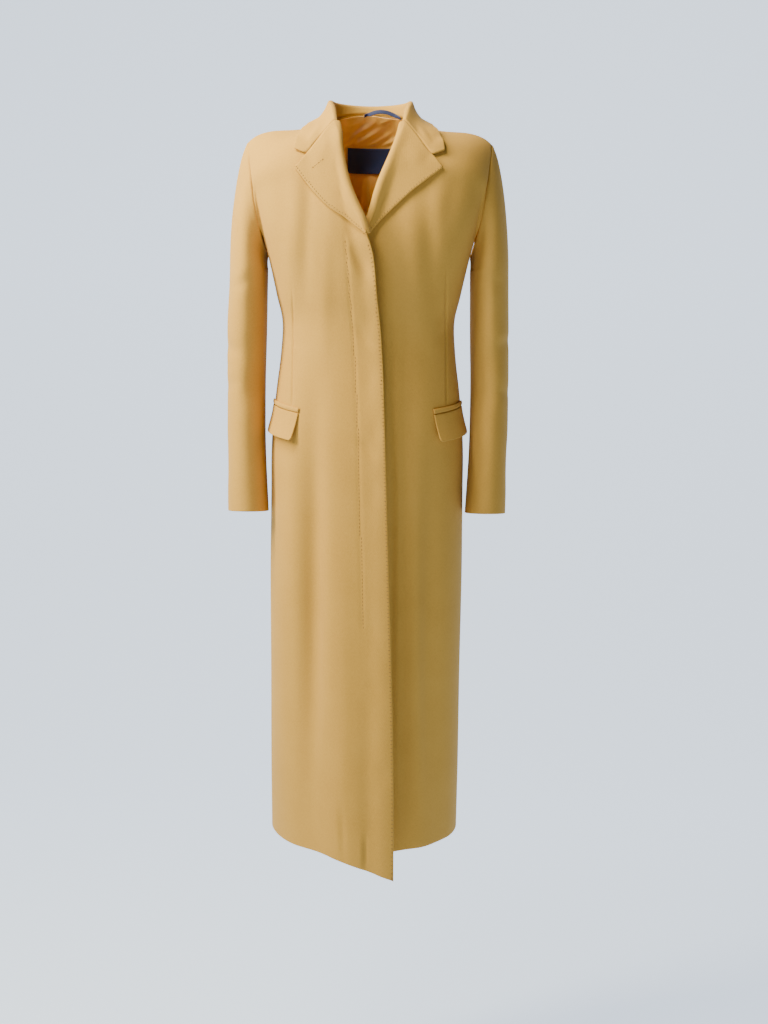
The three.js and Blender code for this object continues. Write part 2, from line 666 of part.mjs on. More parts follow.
// The collar rises from the neck seam, turns over at the fold and falls to its outer edge.
function collar() {
  const line = (key) => {
    const half = COLLAR.map((station) => station[key]);
    const left = half.map(([x, y, z]) => vector(x, y, z));
    const right = half.slice(1).reverse().map(([x, y, z]) => vector(-x, y, z));
    return new THREE.CatmullRomCurve3([...right, ...left], false, "centripetal");
  };
  const seam_line = line("seam");
  const fold_line = line("fold");
  const edge_line = line("edge");
  const body = [-1, 1].flatMap((side) => [
    ...chests[side],
    ...triangles_of(upper_part(backs[side]), side < 0),
  ]);
  const up = vector(0, 0, 1);
  const clearance = DOUBLED_WOOL + FALL_GAP;
  const rows = steps(COLLAR_STATIONS).map((t) => {
    const side = t < 0.5 ? -1 : 1;
    const edge = edge_line.getPoint(t);
    const out = vector().crossVectors(up, fold_line.getTangent(t)).setZ(0).normalize();
    const base = seam_line.getPoint(t);
    base.addScaledVector(out, STAND_SEAT - DOUBLED_WOOL).addScaledVector(up, STAND_CLEARANCE);
    const stand_top = fold_line.getPoint(t).addScaledVector(up, -FOLD_RADIUS);
    stand_top.z = Math.max(stand_top.z, base.z + 1);
    const turn = [0, 0.25, 0.5, 0.75, 1].map((s) => {
      const angle = PI * (1 - 0.75 * s);
      return stand_top
        .clone()
        .addScaledVector(out, FOLD_RADIUS * (1 + cos(angle)))
        .addScaledVector(up, FOLD_RADIUS * sin(angle));
    });
    const from = turn[turn.length - 1];
    const gorge_share = smooth(abs(t - 0.5) * 2, 0.75, 1);
    const fall = [0.25, 0.5, 0.75, 1].map((s) => {
      const hanging = from.clone().lerp(edge, s).addScaledVector(out, FALL_BULGE * sin(PI * s));
      const notch = vector(side * NOTCH.x, 0, NOTCH.z);
      const at_gorge = s > NOTCH_SHARE ? edge.clone() : from.clone().lerp(notch, s / NOTCH_SHARE);
      const { point, normal } = behind(chests[side], at_gorge.x, at_gorge.z);
      const lying = point.clone().addScaledVector(normal, LAPEL_LIFT + DOUBLED_WOOL);
      return clear_of(body, hanging.lerp(lying, gorge_share), clearance);
    });
    return [base, base.clone().lerp(stand_top, 0.5), ...turn, ...fall];
  });
  for (let pass = 0; pass < FALL_RELAXATIONS; pass += 1) {
    for (let i = 1; i < COLLAR_STATIONS; i += 1) {
      for (let j = FALL_COLUMN; j < rows[i].length; j += 1) {
        const middle = rows[i - 1][j].clone().lerp(rows[i + 1][j], 0.5);
        rows[i][j] = clear_of(body, rows[i][j].clone().lerp(middle, 0.5), clearance);
      }
    }
  }
  return wall(trimmed(rows, { top: GORGE_GAP, bottom: GORGE_GAP }), DOUBLED_WOOL, { flip: true });
}

add("collar", collar(), CAMEL);

const hip_part = (rows) => rows.filter((line) => line[0].z > HIPS.bottom && line[0].z < HIPS.top);
const hips = {
  [-1]: triangles_of(hip_part(fronts[-1]), false),
  1: triangles_of(hip_part(fronts[1]), true),
};

// The outer face of a front at a distance round from the side seam, with its outward normal.
function round_front(side, distance, z) {
  const line = front_line(side, z);
  let left = distance;
  let k = 1;
  while (k < line.length - 1 && left > line[k].distanceTo(line[k - 1])) {
    left -= line[k].distanceTo(line[k - 1]);
    k += 1;
  }
  const run = vector().subVectors(line[k], line[k - 1]).normalize();
  const point = line[k - 1].clone().addScaledVector(run, left);
  return { point, normal: vector(side * -run.y, side * run.x, 0).normalize() };
}

// A strip of cloth on a pocket, from low to high beside the mouth, standing off by one lift a row.
function pocket_piece(side, low, high, cloth, lifts) {
  const rows = lifts.map((lift, i) =>
    steps(POCKET_COLUMNS).map((u) => {
      const distance = lerp(POCKET_BACK, POCKET_FRONT, u);
      const z = POCKET_Z - POCKET_SLANT * u + lerp(low, high, i / (lifts.length - 1));
      const { point, normal } = round_front(side, distance, z);
      point.addScaledVector(normal, cloth + lift(u));
      return clear_of(hips[side], point, LAY_GAP + cloth + lift(u));
    }),
  );
  return wall(rows, cloth, { flip: side > 0 });
}

for (const side of [-1, 1]) {
  const kicks = [1, 0.6, 0.25, 0].map((share) => (u) => FLAP_KICK * share * lerp(0.3, 1, u));
  const flap = pocket_piece(side, -FLAP_DROP, 0, FLAP_CLOTH, kicks);
  add(`pocket_flap_${SIDES[side]}`, flap, CAMEL);
  const roll = [0, 1, 0].map((share) => () => WELT_ROLL * share);
  const welt = pocket_piece(side, LAY_GAP, LAY_GAP + WELT_HEIGHT, WELT_CLOTH, roll);
  add(`pocket_welt_${SIDES[side]}`, welt, CAMEL);
}

// The lining of the upper back, puckered where it is gathered in under the collar.
function lining_rows() {
  const foot = lower_heights.findIndex((z) => z > LINING_FOOT_Z);
  const half = (side) => {
    const normals = normals_of(backs[side], { flip: side < 0 });
    return backs[side].slice(foot).map((line, i) =>
      line.slice(BACK_COLUMNS - LINING_REACH).map((p, j) => {
        const normal = normals[foot + i][BACK_COLUMNS - LINING_REACH + j];
        if (j === LINING_REACH) normal.setX(0).normalize();
        const at_shoulder = foot + i === backs[side].length - 1 && j < LINING_REACH - NECK_COLUMNS;
        if (at_shoulder) normal.setY(0).normalize();
        const wave = 0.5 + 0.5 * sin(i * 2.1 + side * j * 0.9);
        const pucker = LINING_PUCKER * wave * smooth(p.z, LINING_FOOT_Z, ARMPIT_Z);
        return p.clone().addScaledVector(normal, -(WOOL + LAY_GAP + SATIN + pucker));
      }),
    );
  };
  const left = half(1);
  return half(-1).map((line, i) => [...line, ...left[i].reverse().slice(1)]);
}

const lining = lining_rows();
add("lining_back", wall(lining, SATIN), AMBER);

// The bare woven label lies on the lining.
const lining_face = triangles_of(lining, false);
const label = steps(LABEL_ROWS).map((t) =>
  steps(LABEL_COLUMNS).map((u) => {
    const x = lerp(-LABEL.half, LABEL.half, u);
    const { point } = behind(lining_face, x, lerp(LABEL.bottom, LABEL.top, t));
    return clear_of(lining_face, point.setY(point.y - LABEL_CLOTH), LABEL_CLOTH + LAY_GAP);
  }),
);
add("neck_label", wall(label, LABEL_CLOTH), NAVY);

// The hanging loop is a narrow doubled strip. Its ends lie on the lining and it bows out between them.
const loop_line = curve(LOOP_PATH, 1).getSpacedPoints(LOOP_STEPS);
const loop = [-0.5, 0.5].map((share) =>
  loop_line.map((on_path, k) => {
    const p = on_path.clone().add(vector(0, 0, share * LOOP_WIDTH));
    const { height, normal } = height_over(lining_face, p);
    const sewn = k < LOOP_SEWN || k > LOOP_STEPS - LOOP_SEWN;
    return sewn ? p.addScaledVector(normal, LOOP_CLOTH + LOOP_GAP - height) : p;
  }),
);
add("hanging_loop", wall(loop, LOOP_CLOTH), NAVY);

export default coat;
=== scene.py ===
# A full-length camel wool overcoat, dressed over its imported CAD frame.
# The sections follow the coat as it is made up: camera and studio, fronts, backs, sleeves, pockets, lapels,
# collar, lining, label and hanging loop. Patterns are drafted in millimetres, as in the cutting room.
import math

import bpy
import numpy as np
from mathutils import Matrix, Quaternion, Vector


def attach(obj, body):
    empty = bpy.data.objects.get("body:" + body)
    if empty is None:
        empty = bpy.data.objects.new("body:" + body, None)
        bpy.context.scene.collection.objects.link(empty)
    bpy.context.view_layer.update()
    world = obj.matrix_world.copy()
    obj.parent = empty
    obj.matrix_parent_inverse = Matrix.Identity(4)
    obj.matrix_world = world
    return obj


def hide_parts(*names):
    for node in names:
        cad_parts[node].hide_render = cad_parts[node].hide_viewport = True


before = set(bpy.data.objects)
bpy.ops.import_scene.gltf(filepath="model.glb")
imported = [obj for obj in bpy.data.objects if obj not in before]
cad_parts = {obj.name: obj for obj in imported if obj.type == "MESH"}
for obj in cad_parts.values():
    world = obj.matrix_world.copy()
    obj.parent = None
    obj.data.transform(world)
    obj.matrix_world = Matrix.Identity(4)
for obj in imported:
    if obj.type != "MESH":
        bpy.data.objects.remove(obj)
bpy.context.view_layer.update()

# The camera and the studio
# The picture was taken from hip height, 2.6 m in front and a little to the wearer's left, looking
# slightly down, with the picture's top turned a touch to the right.
CAMERA_PLACE = (0.030, -2.6, -0.290)
LOOK_DOWN = math.radians(8)
PICTURE_TURN = math.radians(0.6)
FOCAL_PIXELS = 1500
PICTURE_HEIGHT = 1024
SENSOR = 36

bpy.ops.object.camera_add(location=CAMERA_PLACE)
camera = bpy.context.object
camera.name = "studio_camera"
camera.data.sensor_width = SENSOR
camera.data.lens = SENSOR * FOCAL_PIXELS / PICTURE_HEIGHT
camera.rotation_mode = "QUATERNION"
tilt = Quaternion((1, 0, 0), math.pi / 2 - LOOK_DOWN)
camera.rotation_quaternion = tilt @ Quaternion((0, 0, 1), PICTURE_TURN)
bpy.context.scene.camera = camera


def softbox(name, place, aim, size, watts, colour):
    """A large soft area light that faces a point of the coat."""
    bpy.ops.object.light_add(type="AREA", location=place)
    light = bpy.context.object
    light.name = name
    light.data.shape = "RECTANGLE"
    light.data.size, light.data.size_y = size
    light.data.energy = watts
    light.data.color = colour
    light.rotation_mode = "QUATERNION"
    light.rotation_quaternion = (Vector(aim) - Vector(place)).to_track_quat("-Z", "Y")


softbox("key_light", (-1.3, -0.5, 0.72), (0, 0, -0.42), (0.35, 1.6), 92, (1, 0.90, 0.64))
softbox("front_light", (-0.9, -2.6, 0.2), (0, 0, -0.75), (1.0, 1.0), 8, (1, 0.94, 0.80))
softbox("top_light", (-0.5, -0.55, 0.95), (0, 0.05, -0.03), (0.3, 0.3), 17, (1, 0.97, 0.9))

world = bpy.data.worlds.new("studio_air")
bpy.context.scene.world = world
world.use_nodes = True
world.node_tree.nodes["Background"].inputs["Color"].default_value = (0.86, 0.91, 1, 1)
world.node_tree.nodes["Background"].inputs["Strength"].default_value = 0.12

# The sweep is one sheet of paper that runs from the floor up behind the coat in a wide curve.
FLOOR_Z = -1.75
SWEEP_BACK = 3.2
SWEEP_FRONT = -5.0
SWEEP_WIDTH = 9.0
SWEEP_HEIGHT = 4.0
SWEEP_RADIUS = 1.6
SWEEP_STEPS = 25

bpy.ops.object.select_all(action="DESELECT")
bend = [
    (
        SWEEP_BACK - SWEEP_RADIUS + SWEEP_RADIUS * math.sin(a),
        FLOOR_Z + SWEEP_RADIUS - SWEEP_RADIUS * math.cos(a),
    )
    for a in np.linspace(0, math.pi / 2, SWEEP_STEPS)
]
profile = [(SWEEP_FRONT, FLOOR_Z), *bend, (SWEEP_BACK, FLOOR_Z + SWEEP_HEIGHT)]
paper = bpy.data.meshes.new("paper_sweep")
paper.from_pydata(
    [(x, y, z) for y, z in profile for x in (-SWEEP_WIDTH / 2, SWEEP_WIDTH / 2)],
    [],
    [(2 * k, 2 * k + 1, 2 * k + 3, 2 * k + 2) for k in range(len(profile) - 1)],
)
paper.shade_smooth()
sweep = bpy.data.objects.new("paper_sweep", paper)
bpy.context.collection.objects.link(sweep)

paper_finish = bpy.data.materials.new("pale_paper")
paper_finish.use_nodes = True
paper_shader = paper_finish.node_tree.nodes["Principled BSDF"]
paper_shader.inputs["Base Color"].default_value = (0.42, 0.47, 0.53, 1)
paper_shader.inputs["Roughness"].default_value = 1
paper_shader.inputs["Specular IOR Level"].default_value = 0
paper_shader.inputs["Emission Color"].default_value = (0.66, 0.76, 0.90, 1)
paper_shader.inputs["Emission Strength"].default_value = 1.6
paper.materials.append(paper_finish)

# The fronts
# Two fronts of camel wool overcoating, cut straight from shoulder to hem with one long dart each. The
# wearer's right one laps over the left and hides the buttons behind a fly, held by a long line of
# hand stitching. Heights and girths are measured from between the shoulders.
WOOL = 2.6
NAPE_Z = 29
BACK_LENGTH = 1251
HEM_Z = NAPE_Z - BACK_LENGTH
ARMPIT_Z = -215
SIDE_SEAM_Y = 5
BACK_FULLNESS = 2.15
# Height, half width, depth in front, depth behind and fullness of the girth.
BODY = np.array(
    [
        (HEM_Z, 166, 168, 166, 1.95),
        (-1100, 167, 163, 162, 2),
        (-930, 167, 155, 156, 2.05),
        (-760, 168, 148, 150, 2.15),
        (-630, 167, 141, 143, 2.2),
        (-530, 166, 134, 134, 2.25),
        (-460, 160, 126, 120, 2.3),
        (-395, 152, 119, 104, 2.35),
        (-340, 147, 117, 98, 2.35),
        (-275, 155, 126, 101, 2.35),
        (ARMPIT_Z, 171, 131, 107, 2.35),
    ]
)
# Height, end of the upper front, end of the under front, and how far each stands off the girth there.
EDGES = np.array(
    [
        (HEM_Z, 51, -26, 25, 12),
        (-1110, 50, -24, 21, 11),
        (-945, 46, -28, 16, 10),
        (-780, 40, -34, 11, 9),
        (-530, 31, -43, 6, 8),
        (-370, 24, -50, 3, 10),
        (-265, 14, -48, 3, 15),
        (ARMPIT_Z, 8, -34, 4, 20),
    ]
)
SHIFT_START = 0.15
TIP_DROP = 36
TIP_DROP_HEIGHT = 320
TIP_DROP_WIDTH = 0.42
TIP_DROP_CURVE = 1.45
UNDER_DROP = 6
# Pattern edges, drafted for the wearer's left.
ARMHOLE = np.array(
    [
        (171, 5, ARMPIT_Z),
        (174, -20, -204),
        (181, -43, -178),
        (189, -53, -142),
        (197, -48, -98),
        (203, -28, -57),
        (207, 0, -25),
        (204, 32, -52),
        (199, 60, -92),
        (192, 75, -138),
        (184, 66, -178),
        (175, 37, -206),
    ]
)
SHOULDER_TIP = 6
SHOULDER = np.array([(207, 0, -25), (194, 0, -15), (171, 1, -7), (112, 3, -2), (68, 5, 12)])
UPPER_ROLL = np.array(
    [
        (0, -132, -190),
        (9, -130, -163),
        (25, -120, -129),
        (38, -109, -96),
        (49, -89, -45),
        (52, -74, -14),
        (55, -62, 0),
        (62, -30, 8),
        (68, 5, 12),
    ]
)
UNDER_ROLL = np.array(
    [
        (-20, -108, -197),
        (-5, -108, -174),
        (6, -107, -146),
        (18, -102, -104),
        (40, -87, -49),
        (50, -74, -20),
        (55, -62, 0),
        (62, -30, 8),
        (68, 5, 12),
    ]
)
# Long soft troughs: piece, place across, lean, top, foot, width and depth.
TROUGHS = [
    ("front_right", -92, 6, -500, HEM_Z, 30, 9),
    ("front_right", -14, 22, -640, HEM_Z, 17, 4),
    ("front_right", -66, -8, -120, -330, 20, 4),
    ("front_left", 62, 6, -560, HEM_Z, 26, 6),
    ("front_left", 128, 2, -700, HEM_Z, 20, 5),
    ("back_right", -62, -10, -520, HEM_Z, 28, 11),
    ("back_right", -126, -4, -700, HEM_Z, 20, 6),
    ("back_left", 48, 12, -600, HEM_Z, 26, 10),
    ("back_left", 118, 6, -520, HEM_Z, 24, 8),
]
TROUGH_GROWTH = 0.75
SIDE_FADE = 25
LOWER_ROWS = 18
UPPER_ROWS = 8
FRONT_COLUMNS = 15
FINE = 60
ARMPIT_EASE = {"below": 1, "above": 4, "passes": 6}
SIDES = {-1: "right", 1: "left"}


def eased(table, column, z):
    """One column of a table at height z, on a smooth curve through its rows."""
    order = np.argsort(table[:, 0])
    heights, values = table[order, 0], table[order, column]
    z = np.clip(z, heights[0], heights[-1])
    k = np.clip(np.searchsorted(heights, z) - 1, 0, len(heights) - 2)
    before = np.maximum(np.arange(len(heights)) - 1, 0)
    after = np.minimum(np.arange(len(heights)) + 1, len(heights) - 1)
    slopes = (values[after] - values[before]) / (heights[after] - heights[before])
    span, rise = heights[k + 1] - heights[k], values[k + 1] - values[k]
    t = (z - heights[k]) / span
    a, b = slopes[k] * span - rise, rise - slopes[k + 1] * span
    return values[k] + rise * t + t * (1 - t) * ((1 - t) * a + t * b)


def curve_at(points, t, closed=False):
    """Places on a smooth curve through points, by share of its spans."""
    points, t = np.asarray(points, float), np.atleast_1d(t)
    count = len(points)
    place = t * (count if closed else count - 1)
    k = np.floor(place).astype(int)
    if not closed:
        k = np.minimum(k, count - 2)
    w = (place - k)[:, None]

    def point(i):
        if closed:
            return points[i % count]
        inner = points[np.clip(i, 0, count - 1)]
        inner = np.where((i < 0)[:, None], 2 * points[0] - points[1], inner)
        return np.where((i > count - 1)[:, None], 2 * points[-1] - points[-2], inner)

    a, b, c, d = point(k - 1), point(k), point(k + 1), point(k + 2)
    gap = [np.sqrt(np.linalg.norm(q - p, axis=1))[:, None] for p, q in ((a, b), (b, c), (c, d))]
    start = (b - a) / gap[0] - (c - a) / (gap[0] + gap[1]) + (c - b) / gap[1]
    end = (c - b) / gap[1] - (d - b) / (gap[1] + gap[2]) + (d - c) / gap[2]
    start, end = start * gap[1], end * gap[1]
    bow = -3 * b + 3 * c - 2 * start - end
    return b + start * w + bow * w**2 + (2 * b - 2 * c + start + end) * w**3


def evenly(points, count):
    """The points of a line at even distances along it."""
    run = np.concatenate([[0], np.cumsum(np.linalg.norm(np.diff(points, axis=0), axis=1))])
    at = np.linspace(0, run[-1], count + 1)
    return np.column_stack([np.interp(at, run, points[:, k]) for k in range(3)])


def smoothstep(x, low, high):
    """0 below low, 1 above high, and a soft rise between them."""
    t = np.clip((x - low) / (high - low), 0, 1)
    return t * t * (3 - 2 * t)


def on_side(points, side):
    """Pattern points for the wearer's left, carried to the given side."""
    return np.asarray(points, float) * (side, 1, 1)


def girth(z, side, face, turn):
    """Points round the body at one height, from the side seam towards the middle."""
    power = 2 / (eased(BODY, 4, z) if face < 0 else BACK_FULLNESS)
    depth = eased(BODY, 2 if face < 0 else 3, z)
    c = np.cos(turn)
    x = side * eased(BODY, 1, z) * np.sign(c) * np.abs(c) ** power
    y = SIDE_SEAM_Y + face * depth * np.abs(np.sin(turn)) ** power
    return np.column_stack([x, y, np.full(len(turn), float(z))])


def trough_depth(piece, p):
    """How far the troughs take points of a piece into the coat."""
    inside = smoothstep(np.abs(p[:, 1] - SIDE_SEAM_Y), 0, SIDE_FADE)
    total = np.zeros(len(p))
    for owner, x, lean, top, foot, width, depth in TROUGHS:
        if owner != piece:
            continue
        down = (top - p[:, 2]) / (top - foot)
        strength = np.sin(np.pi * np.clip(down, 0, 1)) ** 2
        if foot == HEM_Z:
            strength = smoothstep(down, 0, TROUGH_GROWTH)
        across = (p[:, 0] - x - lean * down) / width
        total += depth * inside * strength * np.exp(-across * across)
    return total


def front_line(side, z):
    """A front at one height, from the side seam to its edge."""
    upper = side < 0
    edge = -eased(EDGES, 1, z) if upper else eased(EDGES, 2, z)
    share = edge / eased(BODY, 1, z)
    end = np.arccos(np.sign(share) * np.abs(share) ** (eased(BODY, 4, z) / 2))
    shift = -eased(EDGES, 3, z) if upper else eased(EDGES, 4, z)
    low = np.clip(1 - (z - HEM_Z) / TIP_DROP_HEIGHT, 0, 1)
    t = np.linspace(0, 1, FINE + 1)
    p = girth(z, side, -1, t * end)
    p[:, 1] += shift * smoothstep(t, SHIFT_START, 1)
    p[:, 1] += trough_depth("front_right" if upper else "front_left", p)
    near_edge = np.clip(1 - (1 - t) / TIP_DROP_WIDTH, 0, 1) ** TIP_DROP_CURVE
    p[:, 2] -= (TIP_DROP if upper else UNDER_DROP) * near_edge * low * low
    return p


def armhole_edge(side, face):
    """The armhole border of a panel, from the armpit up to the shoulder tip."""
    tip = SHOULDER_TIP / len(ARMHOLE)
    t = np.linspace(0, 1, FINE + 1)
    t = t * tip if face < 0 else 1 - t * (1 - tip)
    return evenly(curve_at(on_side(ARMHOLE, side), t, True), UPPER_ROWS)


def panel(lower, top, centre, side, face):
    """A whole panel from the hem up, with the change at the armpit eased out."""
    bottom = lower[LOWER_ROWS]
    last = evenly(np.vstack([bottom[-1:], centre]), UPPER_ROWS)
    first = armhole_edge(side, face)
    u = np.linspace(0, 1, len(bottom))[None, :, None]
    w = np.linspace(0, 1, UPPER_ROWS + 1)[:, None, None]
    upper = bottom[None] * (1 - w) + top[None] * w + first[:, None] * (1 - u) + last[:, None] * u
    upper = upper - bottom[0] * (1 - u) * (1 - w) - bottom[-1] * u * (1 - w)
    upper = upper - top[0] * (1 - u) * w - top[-1] * u * w
    rows = np.concatenate([lower, upper[1:]])
    for _ in range(ARMPIT_EASE["passes"]):
        for i in range(LOWER_ROWS - ARMPIT_EASE["below"], LOWER_ROWS + ARMPIT_EASE["above"] + 1):
            middle = (rows[i - 1, 1:-1] + rows[i + 1, 1:-1]) / 2
            rows[i, 1:-1] = (rows[i, 1:-1] + middle) / 2
    return rows


lower_heights = np.linspace(HEM_Z, ARMPIT_Z, LOWER_ROWS + 1)


def front_rows(side):
    """The pattern of a front, row by row from the hem to the shoulder seam."""
    t = np.linspace(0, 1, FINE + 1)
    roll = curve_at(on_side(UPPER_ROLL if side < 0 else UNDER_ROLL, side), t)
    shoulder = evenly(curve_at(on_side(SHOULDER, side), t), FRONT_COLUMNS)
    lower = np.array([evenly(front_line(side, z), FRONT_COLUMNS) for z in lower_heights])
    return panel(lower, shoulder, roll, side, -1)


fronts = {side: front_rows(side) for side in SIDES}


class Wire:
    """A value in a finish, which can be used in sums."""

    def __init__(self, finish, socket):
        self.finish, self.socket = finish, socket

    def __add__(self, other):
        return self.finish.sum("ADD", self, other)

    def __sub__(self, other):
        return self.finish.sum("SUBTRACT", self, other)

    def __rsub__(self, other):
        return self.finish.sum("SUBTRACT", other, self)

    def __mul__(self, other):
        return self.finish.sum("MULTIPLY", self, other)

    __radd__ = __add__
    __rmul__ = __mul__


class Finish:
    """The finish of one kind of cloth, made node by node. fixed values go straight on the shader."""

    def __init__(self, name, fixed):
        self.material = bpy.data.materials.new(name)
        self.material.use_nodes = True
        self.nodes = self.material.node_tree.nodes
        self.shader = self.nodes["Principled BSDF"]
        for socket, value in fixed.items():
            self.shader.inputs[socket].default_value = value

    def feed(self, socket, value):
        if isinstance(value, Wire):
            self.material.node_tree.links.new(value.socket, socket)
        else:
            socket.default_value = value

    def node(self, kind, settings, inputs, output=0):
        node = self.nodes.new("ShaderNode" + kind)
        for key, value in settings.items():
            if key != "stops":
                setattr(node, key, value)
                continue
            while len(node.color_ramp.elements) < len(value):
                node.color_ramp.elements.new(0.5)
            for element, (place, colour) in zip(node.color_ramp.elements, value):
                element.position, element.color = place, colour
        for key, value in inputs.items():
            self.feed(node.inputs[key], value)
        return Wire(self, node.outputs[output])

    def sum(self, operation, a, b):
        return self.node("Math", {"operation": operation}, {0: a, 1: b})

    def noise(self, place, scale, detail=2, roughness=0.5):
        inputs = {"Vector": place, "Scale": scale, "Detail": detail, "Roughness": roughness}
        return self.node("TexNoise", {}, inputs)

    def stretched(self, place, scale):
        return self.node("VectorMath", {"operation": "MULTIPLY"}, {0: place, 1: scale})

    def surface(self, colour, roughness, height, strength, depth):
        """Puts a colour, a roughness and a relief of the given depth in metres on the shader."""
        self.feed(self.shader.inputs["Base Color"], colour)
        self.feed(self.shader.inputs["Roughness"], roughness)
        inputs = {"Strength": strength, "Distance": depth, "Height": height}
        self.feed(self.shader.inputs["Normal"], self.node("Bump", {}, inputs))


WOOL_COLOUR = (0.56, 0.310, 0.052, 1)
WOOL_SHADE = (0.48, 0.258, 0.040, 1)
WOOL_LIGHT = (0.62, 0.352, 0.066, 1)
# How fine each pattern of the wool is, how it is drawn out along the cloth, and its relief in metres.
NAP_SCALE, NAP_STRETCH = 1500, (1, 0.22, 1)
FELT_SCALE, FELT_ROUGHNESS = 330, 0.6
MOTTLE_SCALE, DRIFT_SCALE = 14, 3.2
TWILL_SCALE, TWILL_STRETCH, TWILL_BEND = 210, (1, 0.55, 1), 1.2
WOOL_RELIEF, WOOL_RELIEF_DEPTH = 0.42, 0.0007


def camel_finish():
    """Brushed overcoating: a short nap that lies down the cloth over a close twill."""
    wool = Finish(
        "camel_wool",
        {
            "Specular IOR Level": 0.22,
            "Sheen Weight": 0.1,
            "Sheen Roughness": 0.45,
            "Sheen Tint": (1, 0.86, 0.6, 1),
        },
    )
    place = wool.node("TexCoord", {}, {}, "Object")
    grain = wool.node("UVMap", {"uv_map": "grain"}, {})
    nap = wool.noise(wool.stretched(grain, NAP_STRETCH), NAP_SCALE, 3)
    felt = wool.noise(place, FELT_SCALE, 3, FELT_ROUGHNESS)
    mottle = wool.noise(place, MOTTLE_SCALE, 3)
    drift = wool.noise(place, DRIFT_SCALE, 2)
    ribs_at = wool.stretched(grain, TWILL_STRETCH)
    rib = {"Vector": ribs_at, "Scale": TWILL_SCALE, "Distortion": TWILL_BEND, "Detail": 1}
    twill = wool.node("TexWave", {"bands_direction": "DIAGONAL"}, rib)
    tone = nap * 0.38 + felt * 0.3 + mottle * 0.2 + drift * 0.22 - 0.05
    ramp = {"stops": [(0.3, WOOL_SHADE), (0.5, WOOL_COLOUR), (0.72, WOOL_LIGHT)]}
    colour = wool.node("ValToRGB", ramp, {"Fac": tone})
    relief = nap * 0.5 + felt * 0.75 + twill * 0.14
    wool.surface(colour, 0.86 + felt * 0.12, relief, WOOL_RELIEF, WOOL_RELIEF_DEPTH)
    return wool.material


camel_wool = camel_finish()

# How the cloth is made up
# Every piece is a closed shell of its own thickness on its pattern, read finer than it was drafted and
# finest at its borders. A sewn border sinks into its seam, and a free one is pressed round.
CLOSE = (0, 0.35, 0.9, 1.7, 2.9, 4.6)
SHORTEST_RUN = 2.6
SEAM_SINK = 1.8
SEAM_WIDTH = 1.9
EDGE_ROUNDING = 0.48
MM_PER_METRE = 1000
TINY = 1e-9
SEWN, EDGE = 1, 0


def through(a, b, c, d, t):
    """A smooth run from b to c, heading as a and d ask."""
    return b + 0.5 * t * (c - a + t * (2 * a - 5 * b + 4 * c - d + t * (3 * (b - c) + d - a)))


def finer(grid, rows_at, columns_at, closed=False):
    """The same cloth read at in-between rows and columns."""
    padded = np.concatenate([2 * grid[:1] - grid[1:2], grid, 2 * grid[-1:] - grid[-2:-1]])
    k = np.clip(np.floor(rows_at).astype(int), 0, len(grid) - 2)
    lines = through(*(padded[k + n] for n in range(4)), (rows_at - k)[:, None, None])
    columns_at = np.broadcast_to(columns_at, (len(rows_at), np.shape(columns_at)[-1]))
    k = np.floor(columns_at).astype(int)
    if closed:
        padded = np.concatenate([lines[:, -1:], lines, lines[:, :2]], 1)
    else:
        k = np.clip(k, 0, grid.shape[1] - 2)
        start, end = 2 * lines[:, :1] - lines[:, 1:2], 2 * lines[:, -1:] - lines[:, -2:-1]
        padded = np.concatenate([start, lines, end], 1)
    picks = (np.take_along_axis(padded, (k + n)[:, :, None], 1) for n in range(4))
    return through(*picks, (columns_at - k)[:, :, None])


def places(spans, step):
    """Where to read cloth made of these spans: a step apart, and closer near its borders."""
    run = np.concatenate([[0], np.cumsum(spans)])
    close = np.array(CLOSE) * min(1, run[-1] / CLOSE[-1] / SHORTEST_RUN)
    start, end = close[-1], run[-1] - close[-1]
    middle = np.linspace(start, end, max(2, round((end - start) / step)) + 1)
    at = np.concatenate([close[:-1], middle, run[-1] - close[-2::-1]])
    return np.interp(at, run, np.arange(len(run)))


def spans_of(grid, axis):
    """The mean spans of a grid along one of its ways."""
    steps_taken = np.linalg.norm(np.diff(grid, axis=axis), axis=2)
    return steps_taken.mean(1 - axis)


def normals_of(grid, flip=False, closed=False):
    """The outward normals of a grid of cloth."""
    before = np.concatenate([grid[:, :1], grid[:, :-1]], 1)
    after = np.concatenate([grid[:, 1:], grid[:, -1:]], 1)
    if closed:
        before, after = np.roll(grid, 1, 1), np.roll(grid, -1, 1)
    below, above = np.concatenate([grid[:1], grid[:-1]]), np.concatenate([grid[1:], grid[-1:]])
    normal = np.cross(after - before, above - below)
    normal /= np.maximum(np.linalg.norm(normal, axis=2, keepdims=True), TINY)
    return -normal if flip else normal


def border_distances(grid):
    """How far each place is from the first, last, bottom and top borders, along the cloth."""
    across = np.linalg.norm(np.diff(grid, axis=1), axis=2)
    across = np.concatenate([np.zeros((len(grid), 1)), np.cumsum(across, 1)], 1)
    upwards = np.linalg.norm(np.diff(grid, axis=0), axis=2)
    upwards = np.concatenate([np.zeros((1, grid.shape[1])), np.cumsum(upwards, 0)])
    return {
        "first": across,
        "last": across[:, -1:] - across,
        "bottom": upwards,
        "top": upwards[-1:] - upwards,
    }


